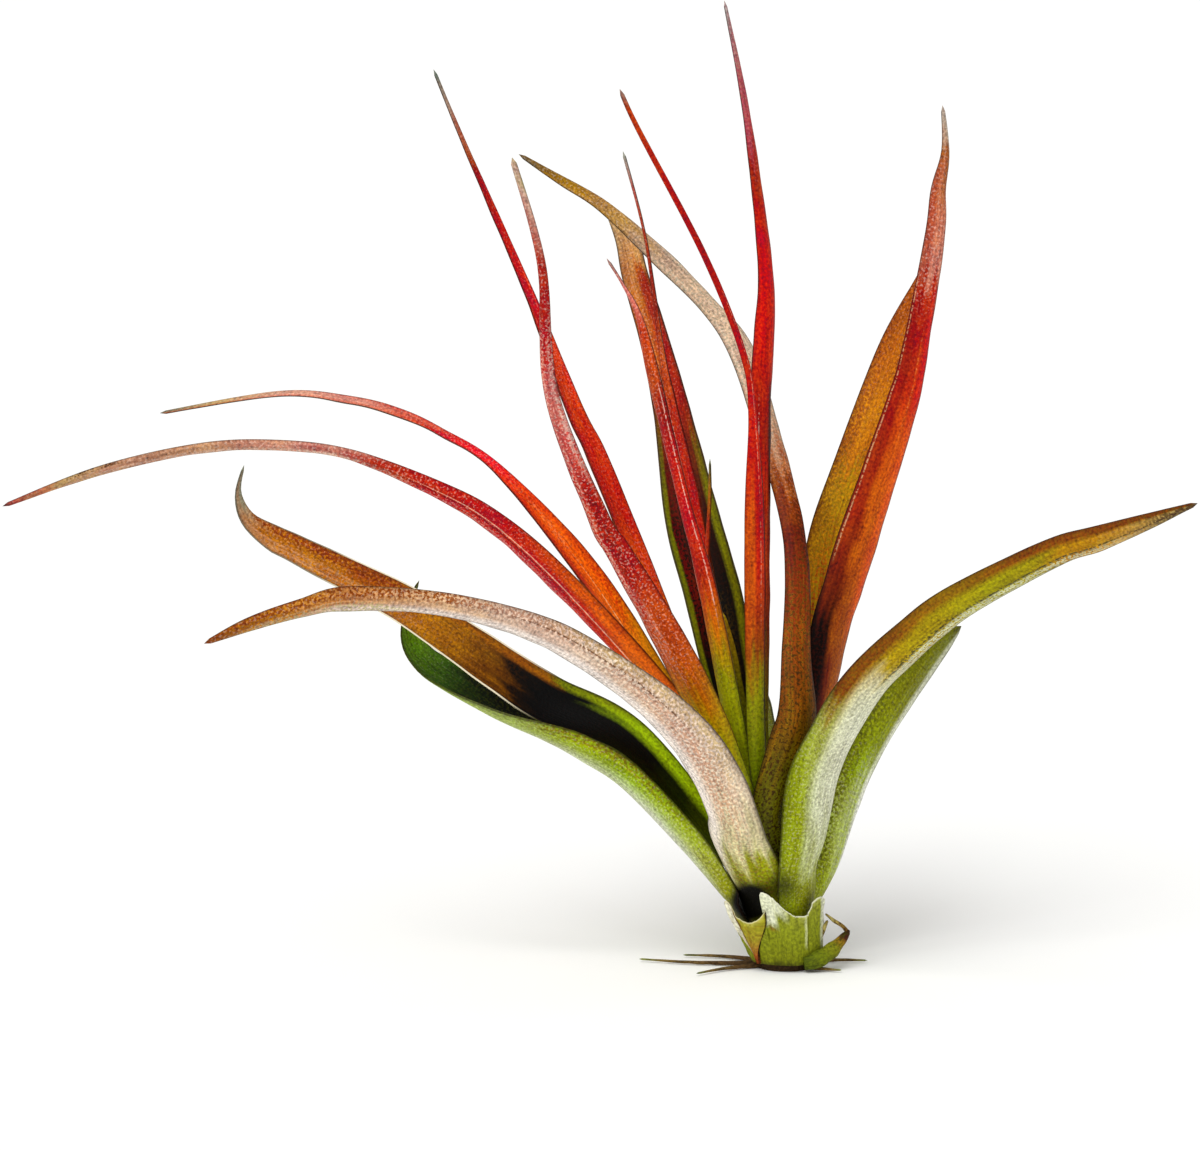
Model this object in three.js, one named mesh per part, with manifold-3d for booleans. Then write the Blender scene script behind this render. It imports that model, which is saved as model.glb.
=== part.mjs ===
import * as THREE from "three";
import { mergeVertices } from "three/addons/utils/BufferGeometryUtils.js";
import Module from "manifold-3d";

// Air plant, Tillandsia brachycaulos var. abdita: a rosette of channelled leaves on a short stem.
// Millimetres, +Z up, +X to the plant's right, -Y its front. The origin is the middle of the stem's flat foot.

// Driving dimensions.
const COLLAR_RADIUS = 4.4; // the stem's thick foot, which the roots leave from
const COLLAR_HEIGHT = 1.2;
const STEM_RADIUS = 3.9;
const STEM_TOP_RADIUS = 1.1;
const STEM_HEIGHT = 24;
const STEM_SIDES = 16;
const LEAN = -0.15; // the rosette's axis leans to the left by this much per millimetre of height
const LEAF_THICKNESS = 0.62;
const CLEARANCE = 0.3;
const FIRST_LEAF_HEIGHT = 2.5;
const LEAF_SPACING = 0.85; // height between one leaf's foot and the next leaf's
const SHEATH_SPAN = 80; // degrees of the stem that a leaf's foot wraps
const RINGS_PER_ROW = 2;
const ROOT_THICKNESS = 0.9;
const ROOT_STEPS = 6;
const WIRE_SIDES = 6;
const SHELL_THICKNESS = 0.62;
const SHELL_FOOT_HEIGHT = 1.2;
const SHELL_STEPS = 4; // heights that an old sheath is sampled at

// The place that the leaves' midlines were sighted from: on the front, a little above the plant.
const EYE = new THREE.Vector3(-29, -891.2, 187);

// The leaves, lowest and outermost first. azimuth is where the foot sits round the stem, in degrees
// from +X towards the back. Each midline row is [across, up, back, width, cup, roll]: across and up
// are the place on the stem's plane that the point covers when seen from EYE, back is its real
// distance behind that plane, cup is half the angle that the blade's channel bends through, and
// roll turns the channel about the midline.
const LEAVES = [
  {
    name: "leaf_01_left_trough",
    colour: 0x6f8f2a,
    azimuth: 180,
    flare: 0.36,
    sheathLength: 8,
    pointsPerFace: 5,
    midline: [
      [-9, 12, 0, 8.2, 62, -10],
      [-15, 19.5, 1, 9.3, 62, -25],
      [-24.5, 29.5, 3, 9, 60, -30],
      [-31.5, 34.5, 4, 9, 60, -28],
      [-44, 40, 7, 9.4, 60, 1],
      [-51.5, 45, 10, 8.8, 54, 34],
      [-56, 48, 12, 6.4, 45, 38],
      [-58.5, 52, 14, 4.2, 35, 34],
      [-58.5, 57, 15, 1.9, 20, 20],
      [-57, 61, 16, 0.6, 6],
    ],
  },
  {
    name: "leaf_02_right_arch",
    colour: 0x8a9a4a,
    azimuth: 317.5,
    flare: 0.25,
    sheathLength: 9,
    pointsPerFace: 5,
    midline: [
      [2.5, 15.5, -5, 9.8, 44, 2],
      [3.5, 20.5, -6, 11.6, 48, 4],
      [5, 30, -8, 12.3, 50, 10],
      [8, 37, -10, 10.4, 48, 18],
      [12.5, 44.5, -13, 9.2, 47, 28],
      [20, 52, -17, 8.1, 46, 36],
      [27, 57.5, -21, 7, 44, 42],
      [41, 65, -29, 5.3, 40, 50],
      [48.5, 67.5, -33, 4.6, 36, 50],
      [63.5, 73, -40, 0.6, 6, 50],
    ],
  },
  {
    name: "leaf_03_back_low",
    colour: 0x7d9440,
    azimuth: 95,
    flare: 0.3,
    sheathLength: 8,
    pointsPerFace: 5,
    midline: [
      [-2.5, 20, 9, 8.8, 48],
      [-4.5, 31, 20, 9.2, 46],
      [-6, 40, 34, 8.6, 44],
      [-7.5, 47.5, 50, 6.7, 40],
      [-8, 54, 66, 3.9, 30],
      [-8.5, 58.5, 80, 0.6, 8],
    ],
  },
  {
    name: "leaf_04_front_left_arch",
    colour: 0xc9a58f,
    azimuth: 232.5,
    flare: 0.24,
    sheathLength: 8,
    pointsPerFace: 5,
    midline: [
      [-7.5, 19, -7, 12, 48],
      [-8.5, 23, -10, 10.4, 47, -2],
      [-11, 29.5, -12, 10, 48, -8],
      [-15.5, 36.5, -16, 9.1, 46, -14],
      [-23.5, 44, -20, 6.8, 44, -26],
      [-37, 52.5, -26, 5, 40, -40],
      [-52.5, 57, -34, 3.9, 36, -48],
      [-68, 58, -41, 4.1, 34, -50],
      [-75.5, 56.5, -45, 3.2, 30, -50],
      [-83.5, 54, -48, 2.3, 20, -50],
      [-90.5, 51, -50, 0.6, 6, -50],
    ],
  },
  {
    name: "leaf_05_right_low",
    colour: 0x71863a,
    azimuth: 0,
    flare: 0.3,
    sheathLength: 3,
    pointsPerFace: 5,
    midline: [
      [4.8, 11.3, 1.5, 6.4, 44, 15],
      [6.8, 16.1, 3, 6.6, 44, 38],
      [8.2, 21.1, 4.5, 6.6, 44, 50],
      [9.8, 26, 5.5, 6.4, 44, 56],
      [11.8, 31, 7, 6, 42, 58],
      [14.4, 36.1, 8, 5.8, 42, 58],
      [17.2, 40.8, 10, 5.8, 40, 58],
      [20.9, 46.2, 13, 4.8, 34, 58],
      [24.3, 50.1, 15, 2.6, 22, 58],
      [26.9, 52.4, 17, 0.6, 6, 58],
    ],
  },
  {
    name: "leaf_06_left_nested",
    colour: 0xa8642a,
    azimuth: 147.5,
    flare: 0.25,
    sheathLength: 8,
    pointsPerFace: 5,
    midline: [
      [-10.5, 19, 3, 7.9, 56],
      [-24.5, 35, 5, 8.4, 54, 10],
      [-38.5, 43.5, 6, 6.4, 42, 35],
      [-50.5, 51.5, 5, 6.7, 35, 45],
      [-60, 57.5, 5, 6.3, 32, 45],
      [-75.5, 65.5, 4, 4.6, 28, 45],
      [-79.5, 67.5, 4, 4.2, 25, 42],
      [-83.5, 70.5, 4, 2.7, 20, 30],
      [-85, 74.5, 3, 1.6, 12, 10],
      [-84, 79, 3, 0.6, 6],
    ],
  },
  {
    name: "leaf_07_front_arch",
    colour: 0xa8745c,
    azimuth: 285,
    flare: 0.16,
    sheathLength: 10,
    pointsPerFace: 5,
    midline: [
      [-3, 24, -8, 5.6, 38],
      [0.5, 35, -8, 7.2, 38],
      [1.8, 40, -8, 6.8, 38],
      [1.6, 49, -6, 5.2, 36],
      [1.2, 67.5, 1, 4.1, 35],
      [-4, 87.5, 15, 4.6, 35],
      [-7.5, 97.5, 22, 4.9, 34],
      [-12.5, 104, 26, 3.7, 30],
      [-20, 111.5, 29, 4, 28],
      [-28.5, 119, 31, 2.6, 22],
      [-35, 123, 33, 1.9, 16],
      [-41.5, 127, 34, 0.6, 6],
    ],
  },
  {
    name: "leaf_08_right_gold",
    colour: 0xb2701f,
    azimuth: 62.5,
    flare: 0.2,
    sheathLength: 9,
    pointsPerFace: 5,
    midline: [
      [0, 21.5, 6, 7.6, 45],
      [3.5, 42, 9, 8.7, 42],
      [5, 53, 11, 8.6, 38],
      [7, 67.5, 13, 8.9, 34],
      [11.5, 81.5, 15, 8.2, 32],
      [16.5, 97, 18, 6.2, 30],
      [21.5, 109, 18, 2.9, 20],
      [22.5, 115, 18, 0.6, 6],
    ],
  },
  {
    name: "leaf_09_left_long",
    colour: 0xb8323a,
    azimuth: 200,
    flare: 0.2,
    sheathLength: 8,
    pointsPerFace: 5,
    midline: [
      [-9, 26.5, -2, 6, 34],
      [-14, 37, -3, 7, 35, -5],
      [-21, 45.5, -4, 7.2, 35, -15],
      [-36, 61.5, -8, 5.6, 35, -35],
      [-45.5, 70, -9, 4.4, 34, -42],
      [-54, 75, -10, 3.3, 33, -48],
      [-67.5, 80.5, -12, 2, 30, -50],
      [-79, 82, -13, 2, 30, -50],
      [-91, 81.5, -14, 1.9, 28, -50],
      [-106.5, 78, -16, 1.7, 22, -50],
      [-121.5, 72.5, -17, 0.6, 6, -50],
    ],
  },
  {
    name: "leaf_10_right_upright",
    colour: 0xc23a1c,
    azimuth: 337.5,
    flare: 0.2,
    sheathLength: 9,
    pointsPerFace: 5,
    midline: [
      [2.5, 28, -1, 8.4, 42, 8],
      [4, 36, -1, 8.4, 38, 18],
      [6.8, 52.5, 0, 7.8, 35, 34],
      [9, 60, 0, 7.9, 35, 37],
      [11.2, 67.5, 1, 7.8, 34, 39],
      [17.5, 87.5, 4, 6.1, 32, 42],
      [19.5, 96, 5, 4.9, 30, 42],
      [22.5, 114, 7, 3.8, 26, 40],
      [23, 121.5, 8, 2.8, 22, 38],
      [24, 127.5, 9, 1.5, 18, 36],
      [23.5, 134.5, 9, 0.6, 6, 36],
    ],
  },
  {
    name: "leaf_11_back_left",
    colour: 0x8a7a3a,
    azimuth: 115,
    flare: 0.2,
    sheathLength: 8,
    pointsPerFace: 5,
    midline: [
      [-4.5, 28, 9, 5.7, 38],
      [-8.5, 42, 19, 7.2, 38],
      [-12.5, 56.5, 28, 7.9, 38],
      [-14.5, 69, 42, 6.5, 35],
      [-15.5, 78, 56, 4.2, 30],
      [-16, 85, 70, 0.6, 8],
    ],
  },
  {
    name: "leaf_12_front_left",
    colour: 0xa8483c,
    azimuth: 252.5,
    flare: 0.16,
    sheathLength: 8,
    pointsPerFace: 5,
    midline: [
      [-8, 29.5, -8, 5, 38],
      [-12.5, 40, -10, 6, 38],
      [-17.5, 50, -14, 5.8, 38],
      [-22.2, 58.5, -17, 5.1, 38],
      [-26.6, 66, -19, 4.4, 38],
      [-29.2, 70.5, -20, 3.7, 38],
      [-36.5, 90, -25, 2.4, 34],
      [-38, 110, -29, 1.4, 28],
      [-42.5, 126.5, -31, 0.9, 12],
    ],
  },
  {
    name: "leaf_13_left_upper",
    colour: 0xc85a2a,
    azimuth: 167.5,
    flare: 0.16,
    sheathLength: 8,
    pointsPerFace: 5,
    midline: [
      [-11, 30.5, 6, 7.4, 38],
      [-15.5, 38, 9, 7.4, 38, 8],
      [-30.5, 61.5, 15, 5.9, 32, 32],
      [-44.5, 78, 20, 2.1, 26, 45],
      [-53.5, 84, 23, 1.6, 24, 50],
      [-60, 87, 25, 1.9, 25, 50],
      [-67.5, 89, 27, 1.7, 24, 50],
      [-78.5, 90, 29, 1.2, 20, 50],
      [-97, 87, 30, 0.6, 6, 50],
    ],
  },
  {
    name: "leaf_14_centre_front",
    colour: 0xc42a22,
    azimuth: 290,
    flare: 0.12,
    sheathLength: 9,
    pointsPerFace: 3,
    midline: [
      [-4.5, 34.5, -6, 3.1, 35],
      [-5, 68.5, -9, 3.5, 35],
      [-5.5, 87, -11, 1.3, 30],
      [-7, 96.5, -13, 1.1, 28],
      [-13, 111.5, -18, 1, 22],
      [-23, 130.5, -24, 0.8, 13],
      [-26, 137, -25, 0.6, 6],
    ],
  },
  {
    name: "leaf_15_centre_broad",
    colour: 0x7a4a24,
    azimuth: 82.5,
    flare: 0.14,
    sheathLength: 8,
    pointsPerFace: 5,
    midline: [
      [-5.5, 32.5, 6, 6.8, 40],
      [-8.5, 46, 10, 7.9, 43],
      [-10.5, 58, 14, 8.7, 44],
      [-14, 70.5, 19, 8.4, 42],
      [-17.5, 86.5, 27, 5.8, 37],
      [-20.5, 98, 32, 4.7, 33],
      [-23.5, 108, 38, 4.4, 30],
      [-25, 114, 42, 3.6, 24],
      [-28.3, 119.2, 45, 0.6, 6],
    ],
  },
  {
    name: "leaf_16_centre_edge",
    colour: 0xc8352a,
    azimuth: 220,
    flare: 0.1,
    sheathLength: 8,
    pointsPerFace: 5,
    midline: [
      [-7, 32, -2, 4.5, 36],
      [-8.5, 39.5, -3, 5.1, 36],
      [-12.5, 59.5, -2, 4.5, 36],
      [-16, 73, 1, 3, 34],
      [-21, 93.5, 5, 3.1, 28],
      [-23, 102, 7, 1.5, 24],
      [-25.5, 107, 9, 0.6, 14],
      [-28, 111, 9, 0.6, 6],
    ],
  },
  {
    name: "leaf_17_tallest",
    colour: 0xb0242c,
    azimuth: 357.5,
    flare: 0.1,
    sheathLength: 8,
    pointsPerFace: 3,
    midline: [
      [-3.5, 35, 1, 4.7, 38, 20],
      [-4, 52, 2, 4.6, 37, 42],
      [-4, 88, 5, 4.8, 36, 42],
      [-3.5, 99, 8, 4.8, 34, 42],
      [-3.5, 110, 11, 3.4, 28, 42],
      [-6.5, 133, 17, 1.7, 18, 42],
      [-10, 150.5, 19, 0.6, 6, 42],
    ],
  },
  {
    name: "leaf_18_left_upright",
    colour: 0xb83a34,
    azimuth: 135,
    flare: 0.1,
    sheathLength: 8,
    pointsPerFace: 3,
    midline: [
      [-9.5, 34.5, 4, 5.5, 35],
      [-13, 42, 6, 5.4, 35],
      [-17.3, 49.5, 9, 4.6, 35],
      [-24, 66.5, 16, 3.2, 33],
      [-29.5, 80.5, 22, 3.1, 30],
      [-32.5, 86, 24, 3.1, 28],
      [-39.5, 104.5, 31, 1.6, 22],
      [-50, 129, 35, 0.9, 13],
      [-54.5, 140, 35, 0.6, 6],
    ],
  },
  {
    name: "leaf_19_small_green",
    colour: 0x8fa02a,
    azimuth: 272.5,
    flare: 0.08,
    sheathLength: 8,
    pointsPerFace: 3,
    midline: [
      [-6, 34, -1, 1.9, 30],
      [-6.5, 38.5, 0, 1.8, 30],
      [-7.5, 44.5, 0, 1.5, 28],
      [-8.5, 50.5, 0, 1, 22],
      [-10, 56, 1, 0.6, 6],
    ],
  },
  {
    name: "leaf_20_centre_slim",
    colour: 0xc04434,
    azimuth: 50,
    flare: 0.08,
    sheathLength: 7,
    pointsPerFace: 3,
    midline: [
      [-7, 34.5, 3, 4, 35],
      [-10, 48.5, 6, 3.7, 35],
      [-14.5, 73.5, 9, 3, 32],
      [-18, 89, 11, 2.1, 28],
      [-19.5, 97, 12, 1.2, 25],
      [-22, 114, 14, 0.6, 15],
      [-25.5, 127.5, 15, 0.6, 6],
    ],
  },
  {
    name: "leaf_21_innermost",
    colour: 0xa85030,
    azimuth: 187.5,
    flare: 0.06,
    sheathLength: 6,
    pointsPerFace: 3,
    midline: [
      [-9.5, 44, 3, 2.3, 30],
      [-11.5, 51.5, 4, 2.3, 30],
      [-12.5, 59.5, 5, 2.1, 28],
      [-12, 73.5, 6, 1.9, 20],
      [-12, 80, 6, 0.6, 6],
    ],
  },
];

// What is left of dead leaves round the foot. Each column is [azimuth, top, radius at the
// bottom, flare]; the tops make the torn rim.
const FRONT_SHEATH = [
  [196, 9.9, 5.2, 0.4], [203, 9.7, 5.2, 0.39], [211, 8.8, 5.2, 0.37], [226, 8.2, 5.2, 0.34],
  [240, 8.6, 5.2, 0.32], [246, 12.8, 5.2, 0.3], [258, 13.3, 5.3, 0.29], [268, 11.7, 5.4, 0.28],
  [280, 9.8, 5.5, 0.26], [290, 9, 5.6, 0.24], [302, 9, 5.7, 0.22], [312, 10.4, 5.8, 0.2],
  [320, 11.2, 5.9, 0.19], [328, 11.4, 6, 0.18], [334, 10.2, 6, 0.18],
];
const BACK_SHEATH = [
  [24, 5.8, 5.3, 0.3], [38, 8.4, 5.3, 0.3], [50, 7.2, 5.3, 0.3], [66, 9.4, 5.3, 0.31],
  [80, 7.8, 5.3, 0.32], [96, 9.8, 5.3, 0.33], [112, 7.2, 5.3, 0.33], [126, 8.8, 5.3, 0.34],
  [140, 6.2, 5.3, 0.34],
];
// Narrow remains: rows of [azimuth, height, radius, width, cup] from the foot to the tip.
const DRY_LEAF = [
  [228, 6.8, 5.8, 2.4, 12], [228, 8.8, 6.7, 2.7, 14], [228, 10, 7.8, 3, 16],
  [228, 9.7, 8.8, 3.4, 18], [228, 8, 8.6, 3.5, 20], [227, 5.4, 7.6, 2.8, 18],
  [224, 3, 6.8, 1.8, 14], [222, 1.3, 6.2, 0.8, 6],
];
const GREEN_STUB = [
  [356, 1.6, 5, 3.4, 26], [356, 2.1, 6.3, 3.6, 30], [355, 3, 7.9, 3.2, 32],
  [353, 4, 9.4, 2.2, 24], [352, 4.7, 10.5, 1, 8],
];
// The dried strand that curls back from the green stub's tip, as [x, y, z].
const STRAND = [[9, -1.3, 4], [9.3, -1.6, 5.2], [8.5, -2, 6.8], [7.2, -2.3, 8], [5.9, -2.4, 8.8]];
const STRAND_THICKNESS = 0.7;
// Wiry roots that lie on the ground: [azimuth, length from the axis, sideways bend].
const ROOTS = [
  [178, 23, 2.5], [202, 16, -2], [150, 17, -2.5], [112, 14, 2],
  [64, 13, -1.5], [18, 13, 2], [322, 10, -1.2],
];

const wasm = await Module();
wasm.setup();

const degrees = THREE.MathUtils.degToRad;

function solidFrom(geometry) {
  const bare = geometry.index ? geometry.toNonIndexed() : geometry.clone();
  bare.deleteAttribute("normal");
  bare.deleteAttribute("uv");
  const merged = mergeVertices(bare, 1e-4);
  return new wasm.Manifold(
    new wasm.Mesh({
      numProp: 3,
      vertProperties: merged.attributes.position.array,
      triVerts: new Uint32Array(merged.index.array),
    }),
  );
}

function geometryFrom(solid) {
  const mesh = solid.getMesh();
  const geometry = new THREE.BufferGeometry();
  geometry.setAttribute("position", new THREE.BufferAttribute(mesh.vertProperties, 3));
  geometry.setIndex(new THREE.BufferAttribute(mesh.triVerts, 1));
  geometry.computeVertexNormals();
  return geometry;
}

function indexed(positions, triangles) {
  const geometry = new THREE.BufferGeometry();
  geometry.setAttribute("position", new THREE.Float32BufferAttribute(positions, 3));
  geometry.setIndex(triangles);
  geometry.computeVertexNormals();
  return geometry;
}

function largestOf(solid) {
  const bodies = solid.decompose();
  return bodies.reduce((best, body) => (body.volume() > best.volume() ? body : best));
}

function stemRadiusAt(height) {
  const share = THREE.MathUtils.clamp(height / STEM_HEIGHT, 0, 1);
  return THREE.MathUtils.lerp(STEM_RADIUS, STEM_TOP_RADIUS, share);
}

// A point at a height, an azimuth and a radius from the leaning axis.
function aroundAxis(height, azimuth, radius) {
  return new THREE.Vector3(
    LEAN * height + radius * Math.cos(degrees(azimuth)),
    radius * Math.sin(degrees(azimuth)),
    height,
  );
}

// The real place of a point that is sighted at (across, up) and lies back behind the stem's plane.
function sighted(across, up, back) {
  const seen = new THREE.Vector3(across, 0, up);
  return seen.sub(EYE).multiplyScalar(1 + back / -EYE.y).add(EYE);
}

// Catmull-Rom through all the columns of a list of rows.
function rowAt(rows, position) {
  const last = rows.length - 1;
  const index = Math.min(Math.floor(position), last - 1);
  const t = position - index;
  const before = rows[Math.max(index - 1, 0)];
  const start = rows[index];
  const end = rows[index + 1];
  const after = rows[Math.min(index + 2, last)];
  return start.map(
    (value, column) =>
      value +
      0.5 * t * (end[column] - before[column] +
        t * (2 * before[column] - 5 * value + 4 * end[column] - after[column] +
          t * (3 * (value - end[column]) + after[column] - before[column]))),
  );
}

// How deep an arc of the radius is that bends through the half angle to each side.
function sagOf(radius, half) {
  return radius * (1 - Math.cos(half));
}

// Rows [x, y, z, width, cup, roll] from the foot of the leaf, which wraps the stem, to its tip.
function leafRows(leaf, order) {
  const foot = FIRST_LEAF_HEIGHT + LEAF_SPACING * order;
  const footRadius = stemRadiusAt(foot) + CLEARANCE + LEAF_THICKNESS / 2;
  const bladeWidth = leaf.midline[0][3];
  const footWidth = Math.min(footRadius * degrees(SHEATH_SPAN), bladeWidth);
  const sheath = [0, 0.5, 1].map((share) => {
    const rise = share * leaf.sheathLength;
    const radius = footRadius + leaf.flare * rise;
    const width = THREE.MathUtils.lerp(footWidth, bladeWidth, share);
    const cup = width / 2 / radius;
    const place = aroundAxis(foot + rise, leaf.azimuth, radius - sagOf(radius, cup) / 2);
    return [...place.toArray(), width, THREE.MathUtils.radToDeg(cup), 0];
  });
  const blade = leaf.midline.map(([across, up, back, width, cup, roll = 0]) => [
    ...sighted(across, up, back).toArray(), width, cup, roll,
  ]);
  return [...sheath, ...blade];
}

// Frames that turn as little as they can along a path. The first one's face looks towards a direction.
function framesAlong(points, towards) {
  const tangents = points.map((point, i) => {
    const ahead = points[Math.min(i + 1, points.length - 1)];
    const behind = points[Math.max(i - 1, 0)];
    return ahead.clone().sub(behind).normalize();
  });
  let face = towards.clone().projectOnPlane(tangents[0]).normalize();
  return points.map((point, i) => {
    if (i > 0) {
      const step = point.clone().sub(points[i - 1]);
      const turned = face.clone().reflect(step.clone().normalize());
      const tangent = tangents[i - 1].clone().reflect(step.normalize());
      face = turned.reflect(tangents[i].clone().sub(tangent).normalize());
    }
    return { point, tangent: tangents[i], face: face.clone() };
  });
}

// A channelled blade: an arc of a section carried along the rows, closed to a point at the tip.
function bladeGeometry(rows, towards, pointsPerFace, thickness) {
  const ringCount = (rows.length - 1) * RINGS_PER_ROW;
  const stations = Array.from({ length: ringCount + 1 }, (_, i) => rowAt(rows, i / RINGS_PER_ROW));
  const frames = framesAlong(stations.map((row) => new THREE.Vector3(...row)), towards);
  const positions = [];
  const ringSize = 2 * pointsPerFace;
  stations.slice(0, -1).forEach((row, i) => {
    const [, , , width, cup, roll] = row;
    const { point, tangent, face } = frames[i];
    const up = face.clone().applyAxisAngle(tangent, degrees(-roll));
    const side = up.clone().cross(tangent);
    const half = Math.max(degrees(cup), 0.02);
    const radius = width / 2 / half;
    for (let j = 0; j < ringSize; j++) {
      const inner = j >= pointsPerFace;
      const step = inner ? ringSize - 1 - j : j;
      const angle = half * ((2 * step) / (pointsPerFace - 1) - 1);
      const reach = radius + (inner ? -thickness / 2 : thickness / 2);
      const vertex = point.clone()
        .addScaledVector(up, radius - sagOf(radius, half) / 2 - reach * Math.cos(angle))
        .addScaledVector(side, reach * Math.sin(angle));
      positions.push(...vertex.toArray());
    }
  });
  positions.push(...frames.at(-1).point.toArray());
  const triangles = [];
  for (let i = 0; i < ringCount - 1; i++) {
    for (let j = 0; j < ringSize; j++) {
      const here = i * ringSize + j;
      const next = i * ringSize + ((j + 1) % ringSize);
      // The inner face is split from the same corners as the outer one.
      if (j < pointsPerFace - 1) {
        triangles.push(here, next, next + ringSize, here, next + ringSize, here + ringSize);
      } else {
        triangles.push(here, next, here + ringSize, next, next + ringSize, here + ringSize);
      }
    }
  }
  const tip = ringCount * ringSize;
  for (let j = 0; j < ringSize; j++) {
    triangles.push(tip - ringSize + j, tip - ringSize + ((j + 1) % ringSize), tip);
  }
  for (let j = 0; j < pointsPerFace - 1; j++) {
    const across = ringSize - 1 - j;
    triangles.push(j, across, across - 1, j, across - 1, j + 1);
  }
  return indexed(positions, triangles);
}

function pieceOf(name, geometry, colour, roughness) {
  const material = new THREE.MeshStandardMaterial({ color: colour, roughness, metalness: 0 });
  const mesh = new THREE.Mesh(geometry, material);
  mesh.name = name;
  return mesh;
}

function stemGeometry() {
  const neck = 1.6 * COLLAR_HEIGHT;
  const profile = [
    [0, 0], [COLLAR_RADIUS, 0], [COLLAR_RADIUS, COLLAR_HEIGHT],
    [stemRadiusAt(neck), neck], [STEM_TOP_RADIUS, STEM_HEIGHT], [0, STEM_HEIGHT + 0.6],
  ].map(([radius, height]) => new THREE.Vector2(radius, height));
  const lathe = new THREE.LatheGeometry(profile, STEM_SIDES).rotateX(Math.PI / 2);
  const lean = new THREE.Matrix4().set(1, 0, LEAN, 0, 0, 1, 0, 0, 0, 0, 1, 0, 0, 0, 0, 1);
  return lathe.applyMatrix4(lean);
}

// A wire with a six-sided section, one flat of which faces away from up, closed to a point.
function wireGeometry(points, up, thickness) {
  const frames = framesAlong(points, up);
  const positions = [];
  const sides = WIRE_SIDES;
  const turn = 180 / sides;
  const reach = thickness / 2 / Math.cos(degrees(turn));
  frames.slice(0, -1).forEach(({ point, tangent, face }) => {
    const side = face.clone().cross(tangent);
    for (let j = 0; j < sides; j++) {
      const angle = degrees(turn + 2 * turn * j);
      const vertex = point.clone()
        .addScaledVector(face, reach * Math.cos(angle))
        .addScaledVector(side, reach * Math.sin(angle));
      positions.push(...vertex.toArray());
    }
  });
  positions.push(...points.at(-1).toArray());
  const triangles = [];
  const rings = points.length - 1;
  for (let i = 0; i < rings - 1; i++) {
    for (let j = 0; j < sides; j++) {
      const here = i * sides + j;
      const next = i * sides + ((j + 1) % sides);
      triangles.push(here, here + sides, next, next, here + sides, next + sides);
    }
  }
  for (let j = 0; j < sides; j++) {
    const next = (j + 1) % sides;
    triangles.push((rings - 1) * sides + j, rings * sides, (rings - 1) * sides + next);
    if (j > 0 && j < sides - 1) triangles.push(0, j, j + 1);
  }
  return indexed(positions, triangles);
}

function rootGeometry(azimuth, length, bend) {
  const along = new THREE.Vector3(Math.cos(degrees(azimuth)), Math.sin(degrees(azimuth)), 0);
  const across = new THREE.Vector3(-along.y, along.x, 0);
  const points = Array.from({ length: ROOT_STEPS + 1 }, (_, i) => {
    const share = i / ROOT_STEPS;
    const reach = THREE.MathUtils.lerp(COLLAR_RADIUS / 2, length, share);
    const sway = bend * share * share * Math.cos(3 * share);
    return new THREE.Vector3(0, 0, ROOT_THICKNESS / 2)
      .addScaledVector(along, reach)
      .addScaledVector(across, sway);
  });
  return wireGeometry(points, new THREE.Vector3(0, 0, 1), ROOT_THICKNESS);
}

// A shell round the foot from its columns, torn along the top.
function shellGeometry(columns) {
  const positions = [];
  [SHELL_THICKNESS / 2, -SHELL_THICKNESS / 2].forEach((outward) => {
    columns.forEach(([azimuth, top, radius, flare]) => {
      for (let k = 0; k < SHELL_STEPS; k++) {
        const height = THREE.MathUtils.lerp(SHELL_FOOT_HEIGHT, top, k / (SHELL_STEPS - 1));
        const reach = radius + flare * (height - SHELL_FOOT_HEIGHT) + outward;
        positions.push(...aroundAxis(height, azimuth, reach).toArray());
      }
    });
  });
  const faceSize = columns.length * SHELL_STEPS;
  const at = (column, step) => column * SHELL_STEPS + step;
  const triangles = [];
  for (let c = 0; c < columns.length - 1; c++) {
    for (let k = 0; k < SHELL_STEPS - 1; k++) {
      const [a, b, d, e] = [at(c, k), at(c + 1, k), at(c + 1, k + 1), at(c, k + 1)];
      triangles.push(a, b, d, a, d, e);
      triangles.push(a + faceSize, d + faceSize, b + faceSize);
      triangles.push(a + faceSize, e + faceSize, d + faceSize);
    }
  }
  const lastColumn = columns.length - 1;
  const lastStep = SHELL_STEPS - 1;
  const rim = [];
  for (let c = 0; c < lastColumn; c++) rim.push(at(c, 0));
  for (let k = 0; k < lastStep; k++) rim.push(at(lastColumn, k));
  for (let c = lastColumn; c > 0; c--) rim.push(at(c, lastStep));
  for (let k = lastStep; k > 0; k--) rim.push(at(0, k));
  rim.forEach((a, i) => {
    const b = rim[(i + 1) % rim.length];
    triangles.push(b, a, a + faceSize, b, a + faceSize, b + faceSize);
  });
  return indexed(positions, triangles);
}

function remnantGeometry(rows) {
  const placed = rows.map(([azimuth, height, radius, width, cup]) => [
    ...aroundAxis(height, azimuth, radius).toArray(), width, cup, 0,
  ]);
  return bladeGeometry(placed, aroundAxis(0, rows[0][0], -1), 3, LEAF_THICKNESS);
}

function leafSolid(leaf, order, margin) {
  const rows = leafRows(leaf, order).map(([x, y, z, width, ...turns]) => [
    x, y, z, width + 2 * margin, ...turns,
  ]);
  const inward = aroundAxis(0, leaf.azimuth, -1);
  return solidFrom(bladeGeometry(rows, inward, leaf.pointsPerFace, LEAF_THICKNESS + 2 * margin));
}

const plant = new THREE.Group();

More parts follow.
